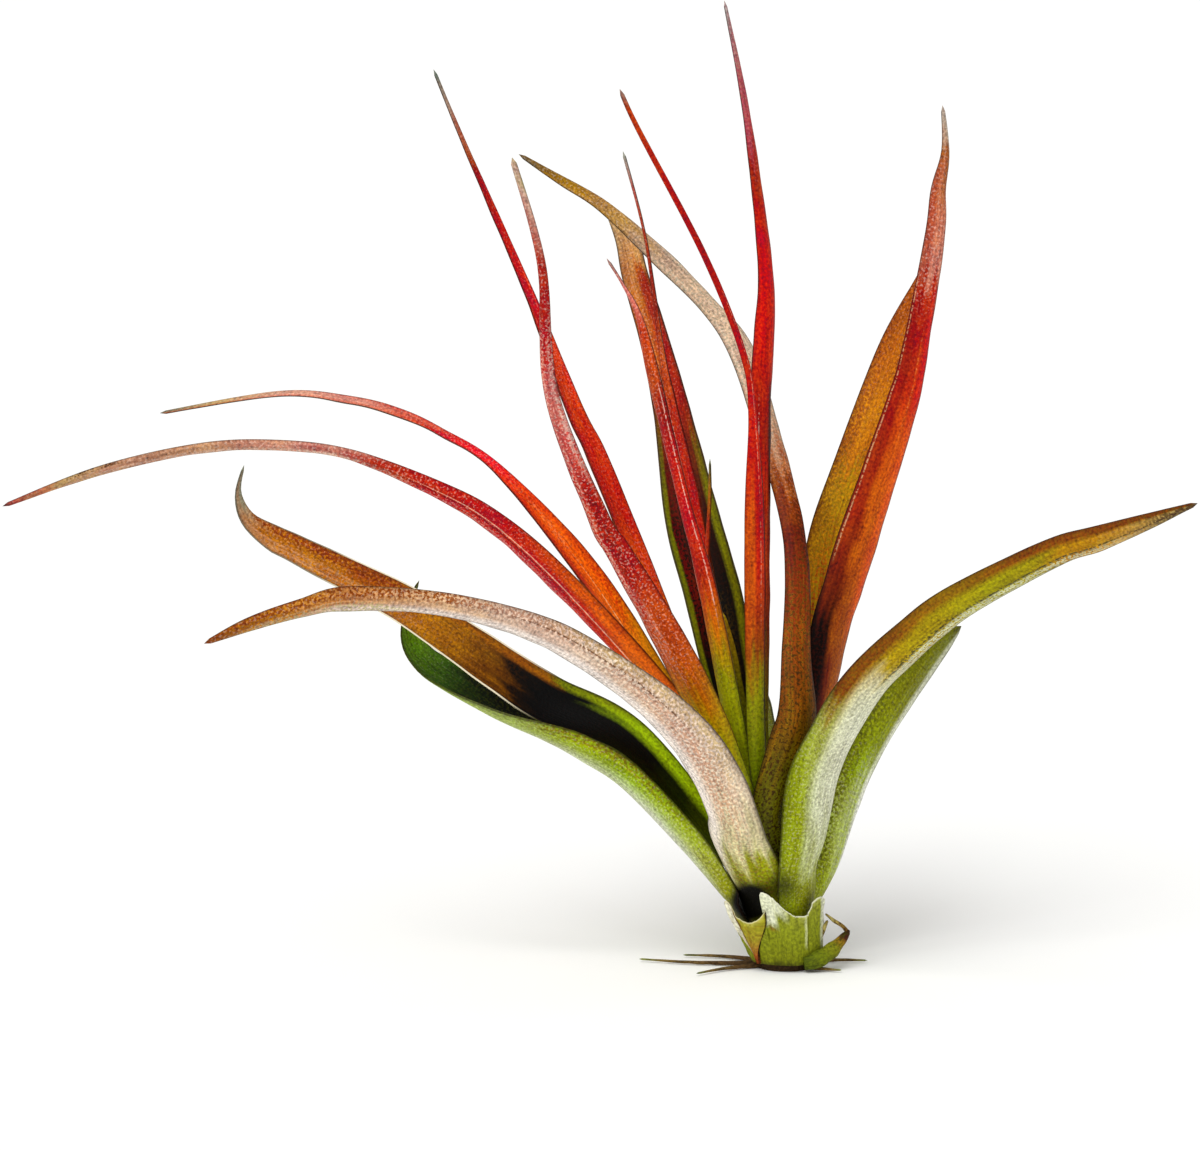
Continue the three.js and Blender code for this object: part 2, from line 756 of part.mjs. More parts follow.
const roots = ROOTS.map(([azimuth, length, bend]) => solidFrom(rootGeometry(azimuth, length, bend)));
const stem = roots.reduce((joined, root) => joined.add(root), solidFrom(stemGeometry()));
plant.add(pieceOf("stem", geometryFrom(stem), 0x6b5a3a, 0.8));

// Where two leaves press on each other, the outer one gives way and leaves a gap.
LEAVES.forEach((leaf, order) => {
  let solid = leafSolid(leaf, order, 0);
  LEAVES.slice(order + 1).forEach((inner, step) => {
    const pressing = leafSolid(inner, order + 1 + step, CLEARANCE);
    if (solid.intersect(pressing).volume() > 0) solid = largestOf(solid.subtract(pressing));
  });
  plant.add(pieceOf(leaf.name, geometryFrom(solid), leaf.colour, 0.55));
});

plant.add(pieceOf("old_sheath_front", shellGeometry(FRONT_SHEATH), 0xcfc9a0, 0.7));
plant.add(pieceOf("old_sheath_back", shellGeometry(BACK_SHEATH), 0x8a6a40, 0.8));
plant.add(pieceOf("dry_leaf_front", remnantGeometry(DRY_LEAF), 0xa8872e, 0.7));
const strandPoints = STRAND.map((point) => new THREE.Vector3(...point));
const strand = solidFrom(wireGeometry(strandPoints, new THREE.Vector3(1, 0, 0), STRAND_THICKNESS));
const stub = solidFrom(remnantGeometry(GREEN_STUB)).add(strand);
plant.add(pieceOf("green_stub_right", geometryFrom(stub), 0x7d8a33, 0.7));

export default plant;
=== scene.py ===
import math

import bpy
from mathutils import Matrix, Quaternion, Vector, noise


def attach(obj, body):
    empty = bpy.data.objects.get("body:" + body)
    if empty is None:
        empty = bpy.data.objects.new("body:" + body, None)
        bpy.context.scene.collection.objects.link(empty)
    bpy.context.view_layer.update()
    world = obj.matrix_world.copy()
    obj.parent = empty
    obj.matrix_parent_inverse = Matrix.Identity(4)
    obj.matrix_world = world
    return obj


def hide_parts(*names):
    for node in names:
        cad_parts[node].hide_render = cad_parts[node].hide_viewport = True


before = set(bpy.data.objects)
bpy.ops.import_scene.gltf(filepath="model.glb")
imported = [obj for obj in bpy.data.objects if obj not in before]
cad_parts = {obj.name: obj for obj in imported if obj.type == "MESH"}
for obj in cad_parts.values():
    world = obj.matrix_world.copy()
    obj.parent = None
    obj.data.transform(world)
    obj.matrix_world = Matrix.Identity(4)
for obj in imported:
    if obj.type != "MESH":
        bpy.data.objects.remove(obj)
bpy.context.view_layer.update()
print("frame loaded")

mm = 0.001

# The rosette, in millimetres and degrees: every leaf hugs a stem that leans to the left.
plant = {
    "lean": -0.15, "stemRadius": 3.9, "stemTopRadius": 1.1, "stemHeight": 24,
    "firstLeaf": 2.5, "leafSpacing": 0.85, "sheathSpan": 80, "clearance": 0.3, "thickness": 0.62,
    "sightedFrom": Vector((-29, -891.2, 187)),
}


# "1 2.5, 3 4" as rows of numbers
def numbers(text):
    return [[float(number) for number in row.split()] for row in text.split(",")]


def stemRadiusAt(height):
    share = min(max(height / plant["stemHeight"], 0), 1)
    return plant["stemRadius"] + (plant["stemTopRadius"] - plant["stemRadius"]) * share


def aroundAxis(height, azimuth, radius):
    turn = math.radians(azimuth)
    return Vector((plant["lean"] * height + radius * math.cos(turn), radius * math.sin(turn), height))


# the real place of a point that is seen at (across, up) on the stem's plane and lies back behind it
def sighted(across, up, back):
    eye = plant["sightedFrom"]
    return eye + (Vector((across, 0, up)) - eye) * (1 - back / eye.y)


# Catmull-Rom through every column of the rows
def rowAt(rows, position):
    last = len(rows) - 1
    index = min(int(position), last - 1)
    t = position - index
    before, start = rows[max(index - 1, 0)], rows[index]
    end, after = rows[index + 1], rows[min(index + 2, last)]
    return [
        s + 0.5 * t * (e - b + t * (2 * b - 5 * s + 4 * e - a + t * (3 * (s - e) + a - b)))
        for b, s, e, a in zip(before, start, end, after)
    ]


def sagOf(radius, half):
    return radius * (1 - math.cos(half))


def smoothStep(value, low, high):
    share = min(max((value - low) / (high - low), 0), 1)
    return share * share * (3 - 2 * share)


# frames that turn as little as they can; the first one faces towards a direction
def framesAlong(points, towards):
    last = len(points) - 1
    spans = [points[min(i + 1, last)] - points[max(i - 1, 0)] for i in range(last + 1)]
    tangents = [span.normalized() for span in spans]
    face = (towards - towards.project(tangents[0])).normalized()
    frames = [(points[0], tangents[0], face)]
    for i in range(1, last + 1):
        step = (points[i] - points[i - 1]).normalized()
        turned = face - 2 * face.dot(step) * step
        tangent = tangents[i - 1] - 2 * tangents[i - 1].dot(step) * step
        swing = tangents[i] - tangent
        if swing.length > 1e-9:
            swing.normalize()
            turned = turned - 2 * turned.dot(swing) * swing
        face = turned
        frames.append((points[i], tangents[i], face))
    return frames


# Rows (x, y, z, width, cup, roll) from the foot of a leaf, which wraps the stem, to its tip. A leaf's
# own rows begin with where its middle line is seen (across, up) and how far back it lies. Cup is half
# the channel's angle, and roll turns the channel about the middle line.
def leafRows(leaf, order):
    foot = plant["firstLeaf"] + plant["leafSpacing"] * order
    footRadius = stemRadiusAt(foot) + plant["clearance"] + plant["thickness"] / 2
    seen = numbers(leaf["rows"])
    bladeWidth = seen[0][3]
    footWidth = min(footRadius * math.radians(plant["sheathSpan"]), bladeWidth)
    rows = []
    for share in (0, 0.5, 1):
        rise = share * leaf["sheath"]
        radius = footRadius + leaf["flare"] * rise
        width = footWidth + (bladeWidth - footWidth) * share
        half = width / 2 / radius
        place = aroundAxis(foot + rise, leaf["azimuth"], radius - sagOf(radius, half) / 2)
        rows.append([*place, width, math.degrees(half), 0])
    for across, up, back, *shape in seen:
        rows.append([*sighted(across, up, back), *shape])
    return rows


# Faces round rings of points that close in a tip, and caps at the foot. corner(i, j, first) gives the
# share and the size at point j of ring i, on a face that starts at point first.
def closeRings(rings, ringSize, corner, caps, flip=False):
    faces, shares, sizes = [], [], []

    def addFace(corners, first=0):
        faces.append([i * ringSize + j % ringSize for i, j in corners])
        for i, j in corners:
            share, size = corner(i, j, first)
            shares.append(share)
            sizes.append(size)

    for i in range(rings):
        for j in range(ringSize):
            ahead = [(i + 1, j + 1), (i + 1, j)] if i < rings - 1 else [(rings, 0)]
            corners = [(i, j), (i, j + 1), *ahead]
            addFace([corners[0], *corners[:0:-1]] if flip else corners, j)
    for cap in caps:
        addFace([(0, j) for j in cap])
    return faces, {"share": shares, "size": sizes}


# A channelled blade carried along rows. Its "share" map holds how far across (0 to 1, and 2 to 3 on the
# upper face) and how far along the blade a point lies; its "size" map holds the same in millimetres.
blade = {
    "steps": 14, "spacing": 1.0, "fewestRings": 24, "samples": 400,
    "crowding": 0.4,  # of the steps towards the rims
    "flattest": 0.02,  # the least half angle of the channel, in radians
    "rim": 0.24, "rimPower": 2.5,  # the rim's thickness, and how late a blade thins down to it
    "narrow": 3, "thinnest": 0.4,  # a blade narrower than this thins down to this share
    "ripple": 0.14, "rippleLength": 5, "unevenness": 0.02, "unevenLength": 9,
}


# the rows read again at even distances along the blade
def evenStations(rows, spacing):
    count, samples = len(rows) - 1, blade["samples"]
    fine = [rowAt(rows, i * count / samples) for i in range(samples + 1)]
    lengths = [0.0]
    for here, ahead in zip(fine, fine[1:]):
        lengths.append(lengths[-1] + (Vector(ahead[:3]) - Vector(here[:3])).length)
    total = lengths[-1]
    rings = max(blade["fewestRings"], round(total / spacing))
    stations, k = [], 0
    for i in range(rings + 1):
        want = total * i / rings
        while k < samples - 1 and lengths[k + 1] < want:
            k += 1
        part = (want - lengths[k]) / max(lengths[k + 1] - lengths[k], 1e-9)
        stations.append(rowAt(rows, min((k + part) * count / samples, count)))
    return stations, total


def bladeMesh(rows, towards, seed):
    stations, total = evenStations(rows, blade["spacing"])
    rings = len(stations) - 1
    frames = framesAlong([Vector(s[:3]) for s in stations], towards)
    steps = blade["steps"]
    ringSize = 2 * steps + 2
    spread = [2 * j / steps - 1 for j in range(steps + 1)]
    acrosses = [x * (1 + blade["crowding"] - blade["crowding"] * abs(x)) for x in spread]
    ring = acrosses + acrosses[::-1]
    places = []
    for i, (station, (point, tangent, face)) in enumerate(zip(stations[:-1], frames)):
        width, cup, roll = station[3:]
        run = total * i / rings
        up = Quaternion(tangent, math.radians(-roll)) @ face
        side = up.cross(tangent)
        half = max(math.radians(cup), blade["flattest"])
        uneven = noise.noise(Vector((run / blade["unevenLength"], seed, 3)))
        swell = 1 + blade["unevenness"] * uneven
        radius = width * swell / 2 / half
        lift = radius - sagOf(radius, half) / 2
        thin = min(1, width / blade["narrow"])
        thinned = blade["thinnest"] + (1 - blade["thinnest"]) * thin
        for j, s in enumerate(ring):
            edge = abs(s) ** blade["rimPower"]
            thick = (plant["thickness"] * (1 - edge) + blade["rim"] * edge) * thinned
            wave = noise.noise(Vector((run / blade["rippleLength"], s, seed)))
            ripple = blade["ripple"] * edge * thin * wave
            reach = radius + (thick / 2 if j <= steps else -thick / 2) + ripple
            turn = half * s
            rise, shift = lift - reach * math.cos(turn), reach * math.sin(turn)
            places.append(point + up * rise + side * shift)
    places.append(frames[-1][0])

    def corner(i, j, first):
        s = 0 if i == rings else ring[j % ringSize]
        onUpper = 2 if steps < first < ringSize - 1 else 0
        return ((s + 1) / 2 + onUpper, i / rings), (s / 2 * stations[i][3], total * i / rings)

    last = ringSize - 1
    caps = [(j, last - j, last - j - 1, j + 1) for j in range(steps)]
    return places, *closeRings(rings, ringSize, corner, caps)


def meshPiece(name, places, faces, maps, material):
    mesh = bpy.data.meshes.new(name)
    mesh.from_pydata([p * mm for p in places], [], faces)
    for mapName, values in maps.items():
        layer = mesh.uv_layers.new(name=mapName)
        layer.data.foreach_set("uv", [n for corner in values for n in corner])
    mesh.materials.append(material)
    mesh.shade_smooth()
    piece = bpy.data.objects.new(name, mesh)
    bpy.context.scene.collection.objects.link(piece)
    return piece


def dress(piece, node):
    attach(piece, "root")
    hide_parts(node)


print("shapes ready")


# a node's output, with arithmetic that adds Math nodes to its tree
class Flow:
    def __init__(self, paint, socket):
        self.paint, self.socket = paint, socket

    def __add__(self, other):
        return self.paint.maths("ADD", self, other)

    def __sub__(self, other):
        return self.paint.maths("SUBTRACT", self, other)

    def __rsub__(self, other):
        return self.paint.maths("SUBTRACT", other, self)

    def __mul__(self, other):
        return self.paint.maths("MULTIPLY", self, other)

    def __pow__(self, other):
        return self.paint.maths("POWER", self, other)

    def __gt__(self, other):
        return self.paint.maths("GREATER_THAN", self, other)

    def __abs__(self):
        return self.paint.maths("ABSOLUTE", self, 0)

    __radd__ = __add__
    __rmul__ = __mul__


# "c8352a" as linear light
def tint(code):
    parts = [int(code[i:i + 2], 16) / 255 for i in (0, 2, 4)]
    return (*[p / 12.92 if p <= 0.04045 else ((p + 0.055) / 1.055) ** 2.4 for p in parts], 1)


specular = 0.1  # of every surface


class Paint:
    def __init__(self, name):
        self.material = bpy.data.materials.new(name)
        self.material.use_nodes = True
        self.tree = self.material.node_tree
        self.tree.nodes.clear()

    def add(self, kind, settings=None, sockets=None, output=0):
        node = self.tree.nodes.new("ShaderNode" + kind)
        for key, value in (settings or {}).items():
            if key == "stops":
                self.setStops(node.color_ramp, value)
            else:
                setattr(node, key, value)
        for key, value in (sockets or {}).items():
            if isinstance(value, Flow):
                self.tree.links.new(value.socket, node.inputs[key])
            else:
                node.inputs[key].default_value = value
        return Flow(self, node.outputs[output])

    # stops "0:8a8a14 40:8fa81c" or "25:0 35:80": percent of the way, and a colour or a percentage
    def setStops(self, ramp, stops):
        while len(ramp.elements) > 1:
            ramp.elements.remove(ramp.elements[-1])
        for i, stop in enumerate(stops.split()):
            percent, value = stop.split(":")
            place = float(percent) / 100
            element = ramp.elements[0] if i == 0 else ramp.elements.new(place)
            element.position = place
            element.color = tint(value) if len(value) == 6 else (*[float(value) / 100] * 3, 1)

    def maths(self, operation, a, b):
        return self.add("Math", {"operation": operation}, {0: a, 1: b})

    def ramp(self, value, stops):
        return self.add("ValToRGB", {"stops": stops}, {0: value})

    def smooth(self, value, low, high):
        return self.add("MapRange", {"interpolation_type": "SMOOTHSTEP"}, {0: value, 1: low, 2: high})

    def mix(self, share, a, b):
        return self.add("Mix", {"data_type": "RGBA"}, {0: share, 6: a, 7: b}, output=2)

    def brighten(self, colour, value):
        if not isinstance(colour, Flow):
            colour = self.add("CombineXYZ", None, dict(enumerate(colour[:3])))
        return self.add("VectorMath", {"operation": "SCALE"}, {0: colour, "Scale": value})

    # how far across and along a point lies, as shares and in millimetres
    def spread(self):
        maps = [self.add("UVMap", {"uv_map": name}) for name in ("share", "size")]
        return [self.add("SeparateXYZ", None, {0: uv}, output=i) for uv in maps for i in (0, 1)]

    def place(self):
        spot = self.add("TexCoord", None, {}, output="Object")
        return [self.add("SeparateXYZ", None, {0: spot}, output=i) * 1000 for i in range(3)]

    # kind: cycles per millimetre across and along, seed, detail
    def grain(self, kind, x, y, seed, shift=0):
        across, along, ownSeed, detail = kind
        place = self.add("CombineXYZ", None, {0: x * across + shift, 1: y * along, 2: seed + ownSeed})
        return self.add("TexNoise", None, {"Vector": place, "Scale": 1.0, "Detail": detail})

    def finish(self, colour, roughness, height, strength, distance):
        relief = {"Strength": strength, "Distance": distance, "Height": height}
        sockets = {"Base Color": colour, "Roughness": roughness, "Specular IOR Level": specular}
        sockets["Normal"] = self.add("Bump", None, relief)
        shader = self.add("BsdfPrincipled", None, sockets)
        end = self.tree.nodes.new("ShaderNodeOutputMaterial")
        self.tree.links.new(shader.socket, end.inputs["Surface"])
        return self.material


# Living leaf skin. A name that ends in "From" holds where a thing starts to show, and where it is full.
# Kinds of grain are cycles per millimetre across and along, seed and detail.
skin = {
    "vein": (2.6, 0.09, 0, 2), "streak": (0.9, 0.045, 3, 2), "mottle": (0.5, 0.2, 7, 3),
    "grit": (2.4, 2, 11, 3), "fleck": (2.3, 1.9, 17, 2), "scale": (2.9, 2.5, 23, 2),
    "wander": (0.12, 0.08),  # how far streaks and mottles carry one colour into the next
    "shift": 3,  # of the grain on the upper face
    "sway": 0.05,  # of a band's sides
    "tear": 0.12, "tornBy": (1.5, 0.5),  # of a broken band, by flecks and veins
    "contrast": (0.9, 0.8, 2.3),  # of veins, mottles and grit
    "fleckFrom": (0.47, 0.62), "fleckGrit": 0.5, "fleckColour": "3a1c0c",
    "bloomFrom": (0.53, 0.64), "bloomVeins": 0.2, "bloomOnLight": (0.01, 0.1),
    "powder": 0.5, "bloomShine": 1.6, "pale": "f1e8dc",
    # painted shadow: the near-black painted round places at the foot, and how far that place leans back
    "paintedShadowLean": 0.14, "paintedShadowColour": "060502",
    "hueDrift": (0.03, 0.02),  # by mottles and grit
    "depth": (1.12, 1.0),  # how much stronger and lighter the colours are laid on
    # painted shade: every leaf darkened towards its edges
    "shadeFrom": (0.7, 0.95), "shade": 0.5, "shadeTo": 0.35,  # towards the edges
    # painted shadow: a dark line along the very edges, for the shade where leaves overlap
    "edgeShadowFrom": (0.92, 0.98), "line": 0.7, "edgeShadowColour": "1c0d06",
    "rimFrom": (0.955, 0.985), "rimColour": "efe3c4",
    "roughness": (0.42, 0.2, 0.2),  # and what grit and bloom add
    "raised": (0.5, 0.5, 0.3),  # veins, grit and bloom
    "relief": (0.55, 0.00025),
}


def leafSkin(name, look, seed):
    paint = Paint(name)
    u, v, x, y = paint.spread()
    upper = u > 1.5  # there the map holds 2 to 3
    u = u - 2 * upper
    s = abs(u * 2 - 1)
    kinds = ("vein", "streak", "mottle", "grit", "fleck", "scale")
    grains = [paint.grain(skin[kind], x, y, seed, skin["shift"] * upper) for kind in kinds]
    veins, streaks, mottle, grit, flecks, scales = grains
    wander = (streaks - 0.5) * skin["wander"][0] + (mottle - 0.5) * skin["wander"][1]
    along, across = v + wander, u + (mottle - 0.5) * skin["sway"]
    colour = paint.mix(upper, paint.ramp(along, look["outer"]), paint.ramp(along, look["inner"]))
    byFlecks, byVeins = skin["tornBy"]
    for face, onFace in (("outer", 1 - upper), ("inner", upper)):
        for code, acrossStops, alongStops, broken in look.get(face + "Bands", []):
            reach = paint.ramp(across, acrossStops) * paint.ramp(along, alongStops) * onFace
            if broken:
                tear = skin["tear"] * broken
                torn = flecks * byFlecks + veins * byVeins - 1
                reach = reach * paint.smooth(torn, tear - skin["tear"], tear)
            colour = paint.mix(reach, colour, tint(code))
    byVeins, byMottle, byGrit = skin["contrast"]
    shade = 1 + (veins - 0.5) * byVeins + (mottle - 0.5) * byMottle + (grit - 0.5) * byGrit
    colour = paint.brighten(colour, shade)
    dark = paint.smooth(flecks + (grit - 0.5) * skin["fleckGrit"], *skin["fleckFrom"])
    fleckColour = look.get("fleckColour", skin["fleckColour"])
    colour = paint.mix(dark * paint.ramp(v, look["flecks"]), colour, tint(fleckColour))
    bloom = paint.smooth(scales + (veins - 0.5) * skin["bloomVeins"], *skin["bloomFrom"])
    bloom = bloom * paint.ramp(v, look["bloom"])
    bloom = bloom * paint.smooth(paint.add("RGBToBW", None, {0: colour}), *skin["bloomOnLight"])
    powdered = paint.mix(skin["powder"], paint.brighten(colour, skin["bloomShine"]), tint(skin["pale"]))
    colour = paint.mix(bloom, colour, powdered)
    # painted shadow: darken towards near-black round each place at the foot where the leaves crowd
    # together
    for across, up, reach, fade, depth in look.get("paintedShadows", []):
        px, py, pz = paint.place()
        gone = ((px - across) ** 2 + (pz + skin["paintedShadowLean"] * py - up) ** 2) ** 0.5
        colour = paint.mix((1 - paint.smooth(gone, reach, fade)) * depth, colour, tint(skin["paintedShadowColour"]))
    saturation, value = skin["depth"]
    hue = 0.5 + (mottle - 0.5) * skin["hueDrift"][0] + (grit - 0.5) * skin["hueDrift"][1]
    sockets = {"Hue": hue, "Saturation": saturation, "Value": value, "Color": colour}
    colour = paint.add("HueSaturation", None, sockets)
    # painted shade towards the edges, then a painted dark line of shadow along them
    shaded = paint.smooth(s, *skin["shadeFrom"]) * skin["shade"]
    colour = paint.mix(shaded, colour, paint.brighten(colour, skin["shadeTo"]))
    line = paint.smooth(s, *skin["edgeShadowFrom"]) * skin["line"]
    colour = paint.mix(line, colour, tint(skin["edgeShadowColour"]))
    if "rims" in look:
        rim = paint.smooth(s, *skin["rimFrom"]) * paint.ramp(v, look["rims"])
        colour = paint.mix(rim, colour, tint(skin["rimColour"]))
    byVeins, byGrit, byBloom = skin["raised"]
    height = veins * byVeins + grit * byGrit + bloom * byBloom
    least, byGrit, byBloom = skin["roughness"]
    roughness = least + grit * byGrit + bloom * byBloom
    return paint.finish(colour, roughness, height, *skin["relief"])


def growLeaf(leaf):
    order = int(leaf["node"].split("_")[1]) - 1
    parts = bladeMesh(leafRows(leaf, order), aroundAxis(0, leaf["azimuth"], -1), order)
    material = leafSkin(leaf["node"] + "_skin", leaf, 10 * order)
    piece = meshPiece(leaf["node"] + "_blade", *parts, material)
    dress(piece, leaf["node"])
    print("grown", leaf["node"])


# The leaves. "40:8fa81c" is a colour and "40:25" a percentage at 40 percent of the way along a leaf. A
# band is a colour, where it shows across, where it shows along, and how broken it is. Bloom, flecks and
# rims are powdery scales, dark spots and a pale rim. A painted shadow is near-black shade painted round
# a
# place at the foot: across, up, where its shade ends in full, where it has faded, and its depth.

# Lower left, the widest: its underside shows, silvery below; its upper face is painted near-black as
# shade.
growLeaf({
    "node": "leaf_01_left_trough", "azimuth": 180, "flare": 0.36, "sheath": 8,
    "rows": "-9 12 0 8.2 62 -10, -15 19.5 1 9.3 62 -25, -24.5 29.5 3 9 60 -30, "
    "-31.3 34 4 9.7 60 -24, -37 37.1 5.2 10.4 60 -3, -44 40.4 7 9.7 60 16, -51.5 45 10 8.8 54 34, "
    "-56 48 12 6.4 45 38, -58.5 52 14 4.2 35 34, -58.5 57 15 1.9 20 20, -57 61 16 0.6 6 0",
    "outer": "0:8a8a14 10:8c8c18 20:a0a848 30:9aae3c 40:8fa81c 50:98a828 60:a0ae5a 70:a8b868 "
    "80:7f9a20 95:5a6a14 100:4a3a20",
    # the upper face's near-black stops are painted shade in the channel
    "inner": "0:3a4a12 40:040602 66:060a02 73:122004 79:2c4c06 85:527a0c 92:6a9012 100:4a3a20",
    "outerBands": [
        ("d6dac4", "50:100 72:15 85:0", "8:0 18:60 30:100 42:55 62:80 75:50 85:0", 0),
        ("8a7418", "80:0 88:100", "25:0 35:80 55:80 65:0", 0.5),
    ],
    "bloom": "0:20 30:35 100:10", "flecks": "0:40 30:30 60:35 100:10", "fleckColour": "4c5008",
    # painted shadow in the hollow at the foot, and a fainter smudge of it above
    "paintedShadows": [(-5.6, 10.4, 2.3, 4.2, 1), (-1.5, 13.2, 0.2, 3.6, 0.75)],
})

# Lower right: brown above, olive in the middle, silvery past the keel.
growLeaf({
    "node": "leaf_02_right_arch", "azimuth": 317.5, "flare": 0.25, "sheath": 9,
    "rows": "2.5 15.5 -5 9.8 44 2, 3.5 20.5 -6 11.6 48 4, 5 30 -8 12.3 50 10, 8 37 -10 10.4 48 18, "
    "12.5 44.5 -13 9.2 47 28, 20 52 -17 8.1 46 36, 27 57.5 -21 7 44 42, 41 65 -29 5.3 40 50, "
    "48.5 67.5 -33 4.6 36 50, 63.5 73 -40 0.6 6 50",
    "outer": "0:8a8e14 8:84881a 15:a0aa44 25:b0ba70 35:c0c07c 43:c4b070 50:b09430 58:a49012 "
    "66:9c940c 74:9c8c1a 80:ac7a2c 88:b88e50 95:b49a60 100:4a3a28",
    "inner": "0:6a7a2a 40:7a7a2c 70:8a6428 100:5a3a22",
    "outerBands": [
        ("7a3c0a", "20:100 36:0", "33:0 40:100 50:90 62:70 74:100", 0),
        ("8c9818", "0:100 22:80 40:0", "8:60 25:100 34:60 40:0", 0),
        ("dfe0c8", "26:0 42:80 60:100", "10:0 15:50 22:90 36:100 42:80 48:0", 0),
        ("d8dab8", "60:0 72:100", "40:0 46:100 60:90 80:70 88:20", 0.15),
        ("140a02", "60:0 64:100 69:0", "42:0 48:100 96:100 100:0", 0.1),
        ("2c1c08", "50:0 60:100 70:0", "46:0 50:80 58:80 62:0", 0.9),
        ("4a2c20", "0:0 20:90 100:100", "88:0 94:80 100:100", 0.1),
    ],
    "bloom": "0:10 15:35 34:30 40:5", "flecks": "0:50 30:35 40:30 100:20", "fleckColour": "5a5c10",
    # a painted smudge of shadow at the foot
    "paintedShadows": [(-0.5, 13, 0.2, 3.4, 0.7)],
})

# Lower back.
growLeaf({
    "node": "leaf_03_back_low", "azimuth": 95, "flare": 0.3, "sheath": 8,
    "rows": "-2.5 20 9 8.8 48 0, -4.5 31 20 9.2 46 0, -6 40 34 8.6 44 0, -7.5 47.5 50 6.7 40 0, "
    "-8 54 66 3.9 30 0, -8.5 58.5 80 0.6 8 0",
    "outer": "0:8a9a3a 50:7f9440 80:8f7a3a 100:5a4a2a",
    "inner": "0:6a7a2a 40:7f8a2c 80:8f6a2c 100:5a4a2a",
    "outerBands": [
        ("cdd6b4", "30:0 50:80 70:0", "0:60 60:80 90:0", 0),
    ],
    "bloom": "0:50 100:30", "flecks": "0:30", "fleckColour": "4a5010",
})

# Front left: pinkish cream, rust along its upper side.
growLeaf({
    "node": "leaf_04_front_left_arch", "azimuth": 232.5, "flare": 0.24, "sheath": 8,
    "rows": "-7.5 19 -7 12 48 0, -8.5 23 -10 10.4 47 -2, -11 29.5 -12 10 48 -8, "
    "-15.5 36.5 -16 9.1 46 -14, -23.5 44 -20 6.8 44 -26, -37 52.5 -26 5 40 -40, "
    "-52.5 57 -34 3.9 36 -48, -68 58 -41 4.1 34 -50, -75.5 56.5 -45 3.2 30 -50, "
    "-83.5 54 -48 2.3 20 -50, -90.5 51 -50 0.6 6 -50",
    "outer": "0:8a9018 7.5:7c8018 10.5:9a9c3c 14:ccc698 22:dcccb4 30:dcc8b8 38:dcc4b0 46:dcc8b4 "
    "54:d8baa8 62:d8bca8 70:d4b090 80:be8458 88:c08450 94:ae6f2c 100:6a3a2c",
    "inner": "0:7a8a2a 30:9a9a4a 70:a06a34 100:6a3a2c",
    "outerBands": [
        ("bc8468", "22:0 42:80 60:90 75:40 90:20", "13:0 20:70 30:80 40:50 48:0", 0.25),
        ("f0e6de", "0:100 24:90 42:0", "8:20 12:80 20:100 60:100 75:80 84:70 88:0", 0),
        ("8a3e0c", "50:0 68:100", "36:0 42:50 64:50 70:90 80:100", 0.5),
        ("dcd6a4", "30:100 50:0", "72:0 78:90 93:80 98:0", 0.5),
        ("7a3210", "0:0 20:70 60:70 100:0", "84:0 90:80 100:100", 0.8),
        ("98a02a", "60:0 80:100", "6:0 8:100 11:80 15:0", 0),
        ("5c600c", "30:0 45:90 60:0", "2:0 5:80 9:80 13:0", 0.5),
        ("c0a870", "66:0 80:100", "22:0 28:60 50:50 60:0", 0.3),
        ("3f240c", "66:0 69:100 72:0", "28:0 34:100 58:100 64:0", 0.5),
    ],
    "bloom": "0:0 15:20 30:30", "flecks": "0:50 12:40 16:10 40:20 70:30 100:50",
    # painted shadow in the hollow at the foot, and a fainter smudge of it above
    "fleckColour": "8a5a40", "paintedShadows": [(-5.6, 10.4, 2.3, 4.2, 1), (-1.5, 13.2, 0.2, 3.6, 0.75)],
})

# Behind the right arch: olive, silvery towards the right, painted darker along its left side as shade.
growLeaf({
    "node": "leaf_05_right_low", "azimuth": 0, "flare": 0.3, "sheath": 3,
    "rows": "4.8 11.3 1.5 6.4 44 15, 6.7 16.1 3 6.9 44 38, 8 21.1 4.5 7.4 44 48, "
    "9.4 26.2 5.5 7.7 44 52, 11.3 31.3 7 7.6 42 54, 13.9 36.4 8 7.2 42 55, 16.8 41.1 10 6.8 40 56, "
    "20.6 46.7 13 5.8 34 58, 24 51 15 4.1 24 58, 27.1 53.8 17 0.6 6 58",
    "outer": "0:8c901a 10:8a920c 20:a4b048 30:b0bc64 40:a8b45a 48:8c9c1c 56:8c981a 66:868a20 "
    "76:747414 86:6c6c12 95:66681c 100:4a4420",
    "inner": "0:5a6a1c 60:5f6424 100:2f2a18",
    "outerBands": [
        # painted shade along the left side
        ("6c700a", "20:100 36:0", "10:0 20:90", 0.15),
        ("c4cc9c", "36:0 50:70 62:80 70:100", "12:0 20:70 46:80 56:20 100:15", 0.1),
        ("eef0de", "66:0 78:100", "16:0 22:100 46:100 52:50 60:80 80:60 100:40", 0),
    ],
    "bloom": "45:30 60:10 100:5", "flecks": "0:30 40:40", "fleckColour": "3c3e0a",
})
